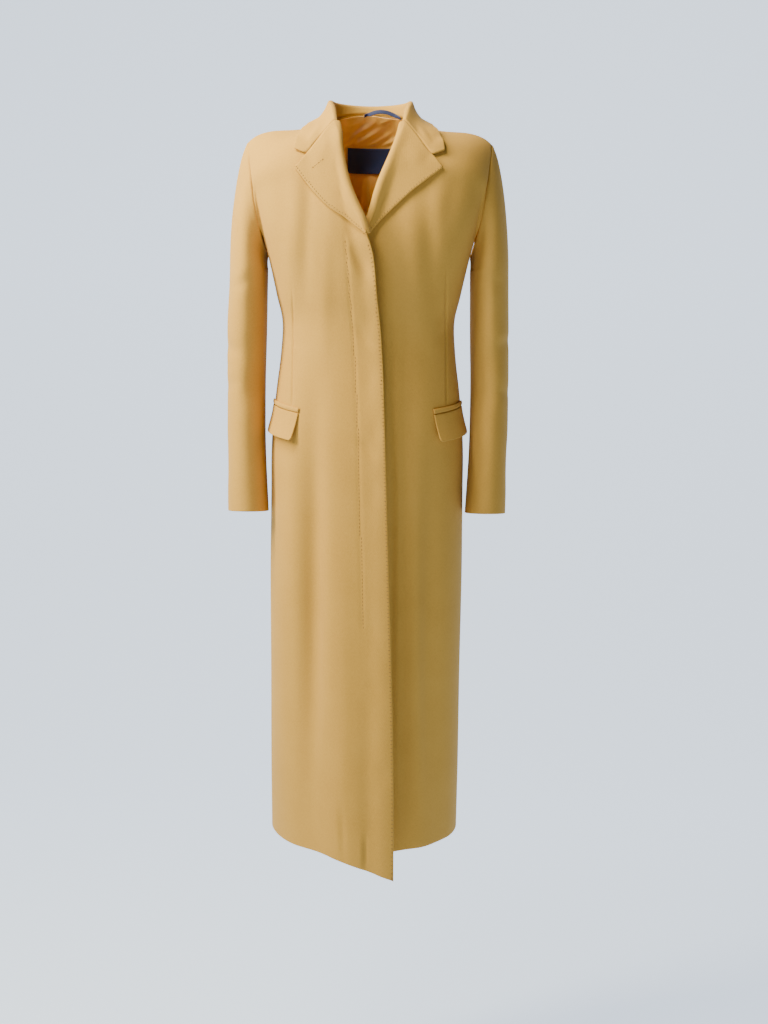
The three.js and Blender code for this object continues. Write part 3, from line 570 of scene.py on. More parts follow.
def softened(grid, corners, radius):
    """The cloth with rounded corners, each given by the two borders that meet there."""
    far = border_distances(grid)
    ahead = {}
    ahead["first"] = np.gradient(grid, axis=1)
    ahead["bottom"] = np.gradient(grid, axis=0)
    for border, opposite in (("last", "first"), ("top", "bottom")):
        ahead[border] = -ahead[opposite]
    result = grid.copy()
    for one, other in corners:
        p, q = (np.clip(radius - far[border], 0, None) for border in (one, other))
        length = np.maximum(np.hypot(p, q), TINY)
        inward = 1 - np.maximum(p, q) / length
        for border, size in ((one, p), (other, q)):
            way = ahead[border] / np.maximum(np.linalg.norm(ahead[border], axis=2, keepdims=True), TINY)
            result += way * (size * inward * ((p > 0) & (q > 0)))[:, :, None]
    return result


def nearest_on(line, points):
    """The place of a line that is nearest to each point."""
    start, run = line[:-1], np.diff(line, axis=0)
    t = np.clip(((points[:, None] - start) * run).sum(2) / (run * run).sum(1), 0, 1)
    place = start + t[:, :, None] * run
    best = np.linalg.norm(place - points[:, None], axis=2).argmin(1)
    return place[np.arange(len(points)), best]


def rounded(distance, radius):
    """How far a rounded border falls away at a distance from it."""
    t = np.clip(1 - distance / radius, 0, 1)
    return radius * (1 - np.sqrt(1 - t * t))


def cloth(name, grid, thick, finish, borders, flip=False, closed=False, relief=None):
    """A piece of cloth as a closed shell. borders says how far each border is sewn in."""
    normal = normals_of(grid, flip, closed)
    far = border_distances(grid)
    outer_drop = np.zeros(grid.shape[:2])
    inner_drop = np.zeros(grid.shape[:2])
    for border, sewn in borders.items():
        outer_drop += sewn * SEAM_SINK * np.exp(-((far[border] / SEAM_WIDTH) ** 2))
        outer_drop += (1 - sewn) * rounded(far[border], thick * EDGE_ROUNDING)
        inner_drop += (1 - sewn) * rounded(far[border], thick * EDGE_ROUNDING)
    if relief is not None:
        outer_drop -= relief
        inner_drop += relief
    outer = grid - normal * outer_drop[:, :, None]
    inner = grid - normal * (thick - inner_drop)[:, :, None]
    height, width = grid.shape[:2]
    points = np.concatenate([outer.reshape(-1, 3), inner.reshape(-1, 3)]) / MM_PER_METRE
    spans = width if closed else width - 1
    i, j = np.meshgrid(np.arange(height - 1), np.arange(spans), indexing="ij")
    a, b = i * width + j, i * width + (j + 1) % width
    c, d = b + width, a + width
    skin = np.stack([a, b, c, d], 2).reshape(-1, 4)
    under = np.stack([d, c, b, a], 2).reshape(-1, 4) + height * width
    rim = []
    rings = [(np.arange(width), True), (np.arange(width) + (height - 1) * width, False)]
    if not closed:
        rings += [(np.arange(height) * width, False), (np.arange(height) * width + width - 1, True)]
    for ring, ahead in rings:
        near = ring[:-1] if not closed else ring
        following = ring[1:] if not closed else np.roll(ring, -1)
        if not ahead:
            near, following = following, near
        rim.append(np.column_stack([following, near, near + height * width, following + height * width]))
    faces = np.concatenate([skin, under, *rim])
    if flip:
        faces = faces[:, ::-1]
    mesh = bpy.data.meshes.new(name)
    mesh.from_pydata(points, [], faces.tolist())
    mesh.shade_smooth()
    across = np.tile(far["first"].mean(0), (height, 1))
    upwards = np.tile(far["bottom"].mean(1)[:, None], (1, width))
    flat_place = np.stack([across, upwards], 2).reshape(-1, 2) / MM_PER_METRE
    corner_points = np.empty(len(mesh.loops), int)
    mesh.loops.foreach_get("vertex_index", corner_points)
    grain = mesh.uv_layers.new(name="grain")
    grain.data.foreach_set("uv", np.tile(flat_place, (2, 1))[corner_points].ravel())
    mesh.materials.append(finish)
    piece = bpy.data.objects.new(name, mesh)
    bpy.context.collection.objects.link(piece)
    return piece


# The stitches
# One stitch is a short slim thread of a few faces, in silk painted much darker than the cloth: the darkness
# is painted shade of the small dimples that the stitches sink into. It is modelled once and copied to every
# place of a line of sewing.
# Sizes: length, width and height.
THREAD = (4.0, 1.3, 1.1)
THREAD_RISE = 0.1


def stitch_shape():
    """One stitch: a short, slim thread of a few faces, a millimetre long, wide and high."""
    bpy.ops.object.select_all(action="DESELECT")
    bpy.ops.mesh.primitive_uv_sphere_add(segments=6, ring_count=4, radius=0.5)
    thread = bpy.context.object
    points = np.array([v.co for v in thread.data.vertices])[:, [2, 0, 1]]
    faces = [list(face.vertices) for face in thread.data.polygons]
    bpy.data.objects.remove(thread)
    return points, faces


stitch_points, stitch_faces = stitch_shape()


def sewn_line(name, stitches, length=THREAD[0]):
    """Copies the stitch to each (place, direction, normal) along a line of sewing."""
    points, faces = [], []
    for place, along, normal in stitches:
        along = along / np.linalg.norm(along)
        across = np.cross(normal, along)
        turned = stitch_points * (length, *THREAD[1:]) @ np.array([along, across, normal])
        faces += [[k + len(points) * len(turned) for k in face] for face in stitch_faces]
        points.append((turned + place + normal * THREAD_RISE) / MM_PER_METRE)
    mesh = bpy.data.meshes.new(name)
    mesh.from_pydata(np.concatenate(points), [], faces)
    mesh.shade_smooth()
    mesh.materials.append(thread_with_painted_shade)
    line = bpy.data.objects.new(name, mesh)
    bpy.context.collection.objects.link(line)
    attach(line, "root")


def along_border(grid, relief, flip, border, inset, every=1, skip=2):
    """Stitches that cross a line at an inset from the first or last border, one to a row."""
    normal = normals_of(grid, flip)
    face = grid if relief is None else grid + normal * relief[:, :, None]
    far = border_distances(grid)[border]
    found = []
    for i in range(skip, len(grid) - skip, every):
        j = int(np.abs(far[i] - inset).argmin())
        found.append((face[i, j], face[i, j - 1] - face[i, j + 1], normal[i, j]))
    return found


# The thread's colour is painted shade: darker than the wool to stand for the shade in the stitch dimples.
thread_with_painted_shade = bpy.data.materials.new("thread_with_painted_shade")
thread_with_painted_shade.use_nodes = True
painted_shade_thread_shader = thread_with_painted_shade.node_tree.nodes["Principled BSDF"]
painted_shade_thread_shader.inputs["Base Color"].default_value = (0.27, 0.135, 0.024, 1)
painted_shade_thread_shader.inputs["Roughness"].default_value = 0.6


# The creases and the darts of the fronts
# Each crease is a soft stroke between two places of the piece, with a low lip along one side. The darts
# are sewn and pressed flat, from the chest to the hip.
CREASE_FADE = 1.3
LIP_PLACE = 1.9


def stroke(p, start, end, width, depth, lip=0.35):
    """A soft crease drawn between two (x, z) places on a piece, deepest in its middle."""
    start, run = np.array(start, float), np.subtract(end, start).astype(float)
    size = np.hypot(*run)
    along = ((p[..., 0] - start[0]) * run[0] + (p[..., 2] - start[1]) * run[1]) / size**2
    off = ((p[..., 0] - start[0]) * run[1] - (p[..., 2] - start[1]) * run[0]) / size / width
    fade = np.sin(np.pi * np.clip(along, 0, 1)) ** CREASE_FADE
    return -depth * fade * (np.exp(-off * off) - lip * np.exp(-((off - LIP_PLACE) ** 2)))


# Darts: place across at their top and foot, and the heights where they start and end.
DARTS = {-1: (-126, -126, -262, -458), 1: (129, 133, -232, -452)}
DART_GATHER = 0.55
DART_REACH = 16
DART_READINGS = 400
DART_HEIGHT_AT = 100
DART_FOOT_FADE = 14
DART_TOP_FADE = 60
DART_TOP_EASE = 4
DART_RISE = 0.6
DART_SPREAD = 8
DART_DEPTH = 3
DART_WIDTH = 1.6
# The line of stitching that holds the fly: heights and places across.
FLY_LINE = np.array([(-190, -38), (-289, -29), (-370, -22), (-517, -14), (-715, -7), (-831, -4)])
FLY_LINE_WIDTH = 2.4
FLY_LINE_DEPTH = 0.7
FLY_STEP = 0.55
FLY_STEP_REACH = 5
FLY_FOOT = (-838, -826)
FLY_TOP = (-192, -178)
# The upper front lifts off the under one along its edge, below the first button.
EDGE_LIFT = 6.5
EDGE_LIFT_REACH = 24
EDGE_LOOSE = (-330, -215)
EDGE_INSET = 3.6
EDGE_STITCHES_TOP = -195
# Hollows between the hidden buttons: height, distance in from the edge, depth.
BUTTON_HOLLOWS = [(-232, 20, 1.3), (-322, 17, 1.5), (-418, 22, 1.2), (-505, 16, 1.6), (-604, 21, 1.1)]
HOLLOW_SPREAD = (24, 11)
FRONT_ROW_STEP = 6.2
FRONT_COLUMN_STEP = 2.9
# Creases die away near a side seam by this share, over this distance.
CREASE_CALM = 0.7
CREASE_CALM_REACH = 6
# Creases of the fronts: start, end, width and depth.
FRONT_CREASES = {
    -1: [
        ((-30, -200), (10, -262), 8, 2.6),
        ((-26, -325), (14, -372), 8, 2.0),
        ((-16, -515), (22, -552), 8, 2.2),
        ((-88, -380), (-94, -1230), 19, 15),
        ((-8, -800), (30, -848), 10, 1.4),
        ((-128, -620), (-124, -1190), 14, 4.0),
        ((6, -905), (34, -960), 9, 1.0),
        ((-58, -960), (-66, -1215), 18, 2.0),
        ((-38, -1120), (-31, -1236), 5, 1.8),
        ((4, -1170), (5, -1248), 4, 2.2),
        ((22, -1050), (40, -1100), 9, 1.3),
        ((-140, -350), (-100, -372), 7, 0.9),
        ((-150, -60), (-124, -210), 16, 1.6),
        ((-98, -50), (-108, -340), 13, 4.0),
        ((-66, -120), (-74, -420), 12, -1.6),
    ],
    1: [
        ((150, -60), (122, -205), 16, 1.8),
        ((92, -80), (112, -330), 16, 3.5),
        ((60, -330), (110, -395), 12, 1.0),
        ((60, -190), (72, -1300), 17, 8),
        ((40, -240), (52, -1330), 8, 8),
        ((108, -480), (114, -1220), 18, 9),
        ((60, -980), (84, -1190), 18, 1.8),
        ((140, -330), (112, -362), 7, 1.0),
    ],
}


def gathered(columns_at, centre, reach, strength):
    """Column places drawn in towards a line, so that the cloth can turn sharply there."""
    q = (columns_at - centre[:, None]) / reach
    power = 1 + strength[:, None]
    pulled = centre[:, None] + reach * np.sign(q) * np.abs(q) ** power
    return np.where(np.abs(q) < 1, pulled, columns_at)


def fly_line_x(heights):
    """Where the fly's line of stitching lies across, at the given heights."""
    return np.interp(heights, FLY_LINE[::-1, 0], FLY_LINE[::-1, 1])


def front_piece(side):
    """A front with its dart, its creases and, on the upper one, its fly and loose edge."""
    rows_at = places(spans_of(fronts[side], 0), FRONT_ROW_STEP)
    spans = spans_of(fronts[side], 1)
    columns_at = places(spans, FRONT_COLUMN_STEP)
    dense = np.linspace(0, FRONT_COLUMNS, DART_READINGS)
    finest = finer(fronts[side], rows_at, dense)
    top_x, foot_x, top, foot = DARTS[side]
    height = finest[:, DART_HEIGHT_AT, 2]
    dart_x = np.interp(height, (foot, top), (foot_x, top_x))
    dart = np.array([np.interp(side * -x, side * -row[:, 0], dense) for x, row in zip(dart_x, finest)])
    sewn = smoothstep(height, foot - DART_FOOT_FADE, foot)
    sewn = sewn * (1 - smoothstep(height, top - DART_TOP_FADE, top + DART_TOP_EASE))
    columns_at = gathered(columns_at, dart, DART_REACH / spans.mean(), DART_GATHER * (sewn > 0))
    grid = finer(fronts[side], rows_at, columns_at)
    from_dart = (columns_at - dart[:, None]) * spans.mean()
    pressed = DART_RISE * np.exp(-((from_dart / DART_SPREAD) ** 2))
    relief = sewn[:, None] * (pressed - DART_DEPTH * np.exp(-((from_dart / DART_WIDTH) ** 2)))
    for crease in FRONT_CREASES[side]:
        relief += stroke(grid, *crease)
    if side < 0:
        heights = grid[:, :, 2]
        off = grid[:, :, 0] - fly_line_x(heights)
        held = smoothstep(heights, *FLY_FOOT) * (1 - smoothstep(heights, *FLY_TOP))
        sunk = FLY_LINE_DEPTH * np.exp(-((off / FLY_LINE_WIDTH) ** 2))
        relief += held * (FLY_STEP * smoothstep(off, 0, FLY_STEP_REACH) - sunk)
        edge_run = border_distances(grid)["last"]
        loose = 1 - smoothstep(heights, *EDGE_LOOSE)
        relief += EDGE_LIFT * loose * np.exp(-((edge_run / EDGE_LIFT_REACH) ** 2))
        for z, inward, depth in BUTTON_HOLLOWS:
            spot = ((heights - z) / HOLLOW_SPREAD[0]) ** 2 + ((edge_run - inward) / HOLLOW_SPREAD[1]) ** 2
            relief -= depth * np.exp(-spot)
    relief *= 1 - CREASE_CALM * np.exp(-((border_distances(grid)["first"] / CREASE_CALM_REACH) ** 2))
    borders = {"first": SEWN, "top": SEWN, "last": EDGE, "bottom": EDGE}
    name = f"coat_front_{SIDES[side]}"
    piece = cloth(name, grid, WOOL, camel_wool, borders, side > 0, relief=relief)
    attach(piece, "root")
    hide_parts(f"front_{SIDES[side]}")
    return piece, grid, relief


upper_front, upper_grid, upper_relief = front_piece(-1)
under_front, under_grid, _ = front_piece(1)
front_grids = {-1: upper_grid, 1: under_grid}


# The pick stitches of the front edge, and the line that holds the fly. Each row of the grid takes one of
# them, and the fly's line is followed by the height of a place well inside the edge.
FLY_HEIGHT_AT = -20

edge_stitches = along_border(upper_grid, upper_relief, False, "last", EDGE_INSET)
sewn_line("front_edge_stitches", [s for s in edge_stitches if s[0][2] < EDGE_STITCHES_TOP])

upper_normal = normals_of(upper_grid)
upper_face = upper_grid + upper_normal * upper_relief[:, :, None]
fly_stitches = []
for i in range(2, len(upper_face) - 2):
    row = upper_face[i]
    if FLY_LINE[-1, 0] < row[FLY_HEIGHT_AT, 2] < FLY_LINE[0, 0]:
        j = int(np.abs(row[:, 0] - fly_line_x(row[FLY_HEIGHT_AT, 2])).argmin())
        fly_stitches.append((row[j], upper_face[i + 1, j] - upper_face[i - 1, j], upper_normal[i, j]))
sewn_line("fly_stitches", fly_stitches)

# The backs
# Two panels of the same cloth, joined by a centre back seam and shaped over the shoulder blades. Each is
# sewn to its front at the side and along the shoulder, and hangs free at the hem.
BACK_NECK = np.array([(68, 5, 12), (60, 34, 18), (36, 57, 26), (0, 66, NAPE_Z)])
CENTRE_BACK = np.array(
    [
        (0, 112, ARMPIT_Z),
        (0, 116, -160),
        (0, 115, -100),
        (0, 104, -45),
        (0, 87, -5),
        (0, 66, NAPE_Z),
    ]
)
SHOULDER_COLUMNS = 8
NECK_COLUMNS = 4
BACK_COLUMNS = SHOULDER_COLUMNS + NECK_COLUMNS
BACK_ROW_STEP = 6.5
BACK_COLUMN_STEP = 4


def back_line(side, z):
    """A back at one height, from the side seam to the centre back."""
    p = girth(z, side, 1, np.linspace(0, 1, FINE + 1) * np.pi / 2)
    p[:, 1] -= trough_depth("back_right" if side < 0 else "back_left", p)
    return p


def back_rows(side):
    """The pattern of a back, row by row from the hem to the shoulder and the neck."""
    t = np.linspace(0, 1, FINE + 1)
    centre = curve_at(CENTRE_BACK, t)[1:]
    shoulder = evenly(curve_at(on_side(SHOULDER, side), t), SHOULDER_COLUMNS)
    neck = evenly(curve_at(on_side(BACK_NECK, side), t), NECK_COLUMNS)
    lower = np.array([evenly(back_line(side, z), BACK_COLUMNS) for z in lower_heights])
    return panel(lower, np.vstack([shoulder, neck[1:]]), centre, side, 1)


backs = {side: back_rows(side) for side in SIDES}

# Creases of the backs: start, end, width and depth.
BACK_CREASES = {
    -1: [
        ((-26, -300), (-120, -338), 11, 1.6),
        ((-20, -372), (-96, -352), 9, 1.2),
        ((-150, -80), (-112, -230), 18, 1.8),
        ((-70, -560), (-84, -900), 20, 2.2),
        ((-30, -800), (-38, -1190), 16, 1.8),
    ],
    1: [
        ((22, -318), (112, -345), 10, 1.5),
        ((18, -398), (78, -372), 10, 1.1),
        ((148, -70), (118, -215), 17, 1.6),
        ((82, -640), (90, -980), 18, 2.0),
        ((24, -880), (30, -1200), 14, 1.6),
    ],
}


def back_piece(side):
    """A back with its creases. Gives its grid, which the sleeve is set to."""
    rows_at = places(spans_of(backs[side], 0), BACK_ROW_STEP)
    grid = finer(backs[side], rows_at, places(spans_of(backs[side], 1), BACK_COLUMN_STEP))
    relief = np.zeros(grid.shape[:2])
    for crease in BACK_CREASES[side]:
        relief += stroke(grid, *crease)
    far = border_distances(grid)
    relief *= 1 - CREASE_CALM * np.exp(-((np.minimum(far["first"], far["last"]) / CREASE_CALM_REACH) ** 2))
    borders = {"first": SEWN, "last": SEWN, "top": SEWN, "bottom": EDGE}
    piece = cloth(f"coat_back_{SIDES[side]}", grid, WOOL, camel_wool, borders, side < 0, relief=relief)
    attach(piece, "root")
    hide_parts(f"back_{SIDES[side]}")
    return grid


back_grids = {side: back_piece(side) for side in SIDES}

# The sleeves
# One tube of the same cloth each, set into the armhole with a little fullness over the shoulder. They
# hang straight, with a few bends and creases about the elbow, and their cuffs are plain and open.
# Height, x, y, width across, depth from front to back, and how much lower the back is.
SLEEVE = np.array(
    [
        (-652, 205, -22, 70, 104, 5),
        (-540, 209, -9, 66, 113, 4),
        (-440, 210, 2, 66, 123, 2),
        (-340, 209, 7, 68, 135, 0),
        (-240, 207, 9, 67, 146, 0),
    ]
)
CUFF_Z, BICEP_Z = SLEEVE[0, 0], SLEEVE[-1, 0]
ARMHOLE_AXIS = np.array([0.98, 0, -0.19]) / np.hypot(0.98, 0.19)
ARMHOLE_GAP = 0.6
CROWN_FALL = {"top": 1.7, "sides": 0.7}
CROWN_FULLNESS = 0.62
# Bends: place around, height, spread around, height of the bend, slant and depth.
SLEEVE_BENDS = [
    (0.22, -395, 0.13, 20, 60, 5),
    (0.2, -450, 0.12, 18, -50, 4),
    (0.72, -300, 0.12, 34, 90, 4),
    (0.55, -560, 0.12, 22, 70, 3),
]
SLEEVE_AROUND = 20
CROWN_ROWS = 6
SLEEVE_ROWS = 12


def sleeve_ring(side, z, around):
    """A ring of the sleeve below the crown: from its inside to the front, the outside and the back."""
    angle = around * 2 * np.pi
    pinch = np.zeros(len(around))
    for place, height, width, tall, slant, depth in SLEEVE_BENDS:
        off = (around - place + 1.5) % 1 - 0.5
        rise = (z - height - slant * off) / tall
        pinch += depth * np.exp(-((off / width) ** 2) - rise * rise)
    half_width = eased(SLEEVE, 3, z) / 2 - pinch
    half_depth = eased(SLEEVE, 4, z) / 2 - pinch
    x = side * (eased(SLEEVE, 1, z) - np.cos(angle) * half_width)
    y = eased(SLEEVE, 2, z) - np.sin(angle) * half_depth
    return np.column_stack([x, y, z + eased(SLEEVE, 5, z) * np.sin(angle)])


def sleeve_rows(side):
    """The pattern of a sleeve, ring by ring from the armhole over the crown to the cuff."""
    axis = ARMHOLE_AXIS * (side, 1, 1)
    around = np.arange(SLEEVE_AROUND) / SLEEVE_AROUND
    height = (1 - np.cos(2 * np.pi * around)) / 2
    fall = CROWN_FALL["sides"] + (CROWN_FALL["top"] - CROWN_FALL["sides"]) * height**2
    start = axis - np.outer(fall, (0, 0, 1))
    start /= np.linalg.norm(start, axis=1)[:, None]
    first = curve_at(on_side(ARMHOLE, side), around, True) + axis * ARMHOLE_GAP
    last = sleeve_ring(side, BICEP_Z, around)
    reach = np.linalg.norm(last - first, axis=1)[:, None] * CROWN_FULLNESS
    crown = []
    for t in np.linspace(0, 1, CROWN_ROWS + 1):
        ring = first + (last - first) * (t * t * (3 - 2 * t))
        ring = ring + start * reach * t * (1 - t) ** 2
        crown.append(ring + reach * t * t * (1 - t) * (0, 0, 1))
    tube = [sleeve_ring(side, z, around) for z in np.linspace(BICEP_Z, CUFF_Z, SLEEVE_ROWS + 1)[1:]]
    return np.array(crown + tube)


sleeves = {side: sleeve_rows(side) for side in SIDES}

SLEEVE_FINE_AROUND = 140
SLEEVE_ROW_STEP = 5
UNDERARM_BELOW = 12
CROWN_PUCKERS = 15
CROWN_REACH = 16
PUCKER_HEIGHT = 0.5
PUCKER_REACH = 15
SLEEVE_CALM = 0.6
SLEEVE_CALM_REACH = 8
# Creases of the sleeves: start, end, width and depth.
SLEEVE_CREASES = {
    -1: [
        ((-224, -150), (-246, -330), 16, 2.6),
        ((-190, -250), (-232, -275), 9, 1.5),
        ((-250, -360), (-214, -384), 9, 1.6),
        ((-214, -420), (-250, -446), 10, 1.3),
        ((-262, -300), (-258, -560), 18, 2.0),
    ],
    1: [
        ((216, -110), (228, -420), 14, 3.0),
        ((190, -240), (230, -268), 9, 1.6),
        ((252, -345), (216, -372), 9, 1.7),
        ((220, -432), (250, -452), 10, 1.2),
        ((246, -130), (262, -520), 16, 2.2),
    ],
}


def armhole_line(side):
    """The armhole as the front and the back have it, once round from the underarm."""
    halves = []
    for grid in (front_grids[side], back_grids[side]):
        halves.append(grid[grid[:, 0, 2] > ARMPIT_Z - UNDERARM_BELOW, 0])
    return np.concatenate([halves[0], halves[1][::-1]])


def sleeve_piece(side):
    """A sleeve, its head drawn onto the armhole and puckered a little along its seam."""
    columns_at = np.arange(SLEEVE_FINE_AROUND) * SLEEVE_AROUND / SLEEVE_FINE_AROUND
    grid = finer(sleeves[side], places(spans_of(sleeves[side], 0), SLEEVE_ROW_STEP), columns_at, True)
    down = border_distances(grid)["bottom"]
    to_seam = nearest_on(armhole_line(side), grid[0]) - grid[0]
    grid = grid + to_seam * np.exp(-((down / CROWN_REACH) ** 2))[:, :, None]
    around = columns_at / SLEEVE_AROUND
    top_of_ring = np.clip(-np.cos(2 * np.pi * around), 0, 1)
    puckers = PUCKER_HEIGHT * top_of_ring * np.sin(2 * np.pi * around * CROWN_PUCKERS)
    relief = puckers * np.exp(-((down / PUCKER_REACH) ** 2))
    for crease in SLEEVE_CREASES[side]:
        relief += stroke(grid, *crease)
    relief *= 1 - SLEEVE_CALM * np.exp(-((down / SLEEVE_CALM_REACH) ** 2))
    borders = {"bottom": SEWN, "top": EDGE}
    name = f"coat_sleeve_{SIDES[side]}"
    piece = cloth(name, grid, WOOL, camel_wool, borders, side > 0, True, relief)
    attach(piece, "root")
    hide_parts(f"sleeve_{SIDES[side]}")


for side in SIDES:
    sleeve_piece(side)

# The pockets
# A slanted flap on each hip, of the same cloth with its lower corners rounded, and a narrow welt above
# it. Both are laid on the front, and are placed by their distance round from the side seam.
POCKET_BACK = 24
POCKET_FRONT = 116
POCKET_Z = -466
POCKET_SLANT = 11
FLAP_DROP = 46
FLAP_CLOTH = 2.4
FLAP_KICK = 7
FLAP_KICKS = (1, 0.6, 0.25, 0)
FLAP_KICK_AT_BACK = 0.3
FLAP_FLARE = 4.5
FLAP_CORNER = 6
WELT_HEIGHT = 8
WELT_CLOTH = 2.6
WELT_ROLL = 0.8
WELT_ROLLS = (0, 1, 0)
HIPS = {"top": -380, "bottom": -610}
LAY_GAP = 1.1
POCKET_COLUMNS = 6
POCKET_ROW_STEP = 2
POCKET_COLUMN_STEP = 3
ALL_EDGES = {"first": EDGE, "last": EDGE, "bottom": EDGE, "top": EDGE}


class Surface:
    """The outer side of some cloth, to lay other cloth on."""

    def __init__(self, grids_and_flips):
        corners, normals = [], []
        for grid, flip in grids_and_flips:
            a, b = grid[:-1, :-1], grid[:-1, 1:]
            c, d = grid[1:, :-1], grid[1:, 1:]
            pairs = np.stack([np.stack([a, b, d], 2), np.stack([a, d, c], 2)], 2).reshape(-1, 3, 3)
            normal = np.cross(pairs[:, 1] - pairs[:, 0], pairs[:, 2] - pairs[:, 0])
            normal /= np.linalg.norm(normal, axis=1)[:, None]
            corners.append(pairs)
            normals.append(-normal if flip else normal)
        self.corners = np.concatenate(corners)
        self.normals = np.concatenate(normals)

    def behind(self, x, z):
        """The place straight behind a point seen from the front, and the normal there."""
        a, b, c = self.corners[:, 0], self.corners[:, 1], self.corners[:, 2]

        def area(p, q):
            return (q[:, 0] - p[:, 0]) * (z - p[:, 2]) - (q[:, 2] - p[:, 2]) * (x - p[:, 0])

        areas = np.stack([area(b, c), area(c, a), area(a, b)], 1)
        areas = areas / areas.sum(1, keepdims=True)
        best = int(np.argmin(-areas.min(1)))
        return areas[best] @ self.corners[best], self.normals[best]

    def height(self, p):
        """The height of a point over the nearest place, and the normal there."""
        a, b, c = self.corners[:, 0], self.corners[:, 1], self.corners[:, 2]
        near = np.stack([self.on_edge(a, b, p), self.on_edge(b, c, p), self.on_edge(c, a, p)])
        over = ((p - a) * self.normals).sum(1)
        foot = p - over[:, None] * self.normals
        turns = [(np.cross(q - s, foot - s) * self.normals).sum(1) for s, q in ((a, b), (b, c), (c, a))]
        turns = np.array(turns)
        inside = (turns >= 0).all(0) | (turns <= 0).all(0)
        distance = np.linalg.norm(near - p, axis=2)
        edge = distance.argmin(0)
        place = near[edge, np.arange(len(a))]
        place = np.where(inside[:, None], foot, place)
        best = int(np.linalg.norm(place - p, axis=1).argmin())
        return float(self.normals[best] @ (p - place[best])), self.normals[best]

    @staticmethod
    def on_edge(a, b, p):
        run = b - a
        t = np.clip(((p - a) * run).sum(1) / (run * run).sum(1), 0, 1)
        return a + t[:, None] * run

    def clear(self, p, clearance):
        """The point, moved out until it stands clear."""
        height, normal = self.height(p)
        return p + normal * (clearance - height) if height < clearance else p


def hip_part(rows):
    """The rows of a front that the pocket lies on."""
    return rows[(rows[:, 0, 2] > HIPS["bottom"]) & (rows[:, 0, 2] < HIPS["top"])]


hips = {side: Surface([(hip_part(fronts[side]), side > 0)]) for side in SIDES}


def round_front(side, distance, z):
    """The outer face of a front at a distance round from the side seam, with its normal."""
    line = front_line(side, z)
    run = np.linalg.norm(np.diff(line, axis=0), axis=1)
    total = np.concatenate([[0], np.cumsum(run)])
    k = int(np.clip(np.searchsorted(total, distance, side="left") - 1, 0, len(run) - 1))
    along = (line[k + 1] - line[k]) / run[k]
    normal = np.array([side * -along[1], side * along[0], 0])
    return line[k] + along * (distance - total[k]), normal / np.linalg.norm(normal)


def pocket_rows(side, low, high, cloth_lift, lifts):
    """The pattern of a flap or a welt between two heights, each row with a lift of its own."""
    rows = []
    for i, lift in enumerate(lifts):
        row = []
        for u in np.linspace(0, 1, POCKET_COLUMNS + 1):
            distance = POCKET_BACK + (POCKET_FRONT - POCKET_BACK) * u
            z = POCKET_Z - POCKET_SLANT * u + low + (high - low) * i / (len(lifts) - 1)
            place, normal = round_front(side, distance, z)
            rise = cloth_lift + lift(u)
            row.append(hips[side].clear(place + normal * rise, LAY_GAP + rise))
        rows.append(row)
    return np.array(rows)


def flap_rows(side):
    """The pattern of a flap, which stands off more at its foot and towards the front."""

    def kick(share):
        return lambda u: FLAP_KICK * share * (FLAP_KICK_AT_BACK + (1 - FLAP_KICK_AT_BACK) * u)

    kicks = [kick(share) for share in FLAP_KICKS]
    return pocket_rows(side, -FLAP_DROP, 0, FLAP_CLOTH, kicks)


def welt_rows(side):
    """The pattern of a welt, a little rounded."""
    roll = [lambda u, k=k: WELT_ROLL * k for k in WELT_ROLLS]
    return pocket_rows(side, LAY_GAP, LAY_GAP + WELT_HEIGHT, WELT_CLOTH, roll)


def pocket_piece(kind, rows, side, thick):
    """A flap or a welt as a piece of cloth laid on its front."""
    columns_at = places(spans_of(rows, 1), POCKET_COLUMN_STEP)
    grid = finer(rows, places(spans_of(rows, 0), POCKET_ROW_STEP), columns_at)
    if kind == "flap":
        grid = softened(grid, (("first", "bottom"), ("last", "bottom")), FLAP_CORNER)
    piece = cloth(f"{kind}_{SIDES[side]}", grid, thick, camel_wool, ALL_EDGES, side > 0)
    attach(piece, "root")
    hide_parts(f"pocket_{kind}_{SIDES[side]}")


for side in SIDES:
    flap = flap_rows(side)
    down = np.linspace(1, 0, len(flap))[:, None, None]
    flap = flap + normals_of(flap, side > 0) * FLAP_FLARE * down**2
    pocket_piece("flap", flap, side, FLAP_CLOTH)
    pocket_piece("welt", welt_rows(side), side, WELT_CLOTH)

# The lapels
# Each front turns back into a lapel of doubled cloth, which runs from its facing inside the front, round
# the roll line, to the outer edge. A line of pick stitches follows that edge.
UPPER_LAPEL = np.array([(5, 0, -180), (33, 0, -160), (61, 0, -142), (90, 0, -115), (122, 0, -75)])
UNDER_LAPEL = np.array([(-11, 0, -192), (7, 0, -173), (35, 0, -145), (74, 0, -109), (121, 0, -73)])
DOUBLED_WOOL = 3.4
GORGE = 7
FACING_REACH = 20
FACING_GAP = 2
BARE_ROLL = 3
ROLL_GAP = 3.8
ROLL_LIFT = 3.5
LAPEL_LIFT = 1.8
LAPEL_ROWS = 8
LAPEL_COLUMNS = 6
LAPEL_ROW_STEP = 3
LAPEL_COLUMN_STEP = 2.4
LAPEL_SETTLE = 0.7
QUARTERS = (0, 0.25, 0.5, 0.75, 1)
ROLL_SIDE_STEP = 2
CHEST_ROW = LOWER_ROWS - 3

chests = {side: [(fronts[side][CHEST_ROW:], side > 0)] for side in SIDES}


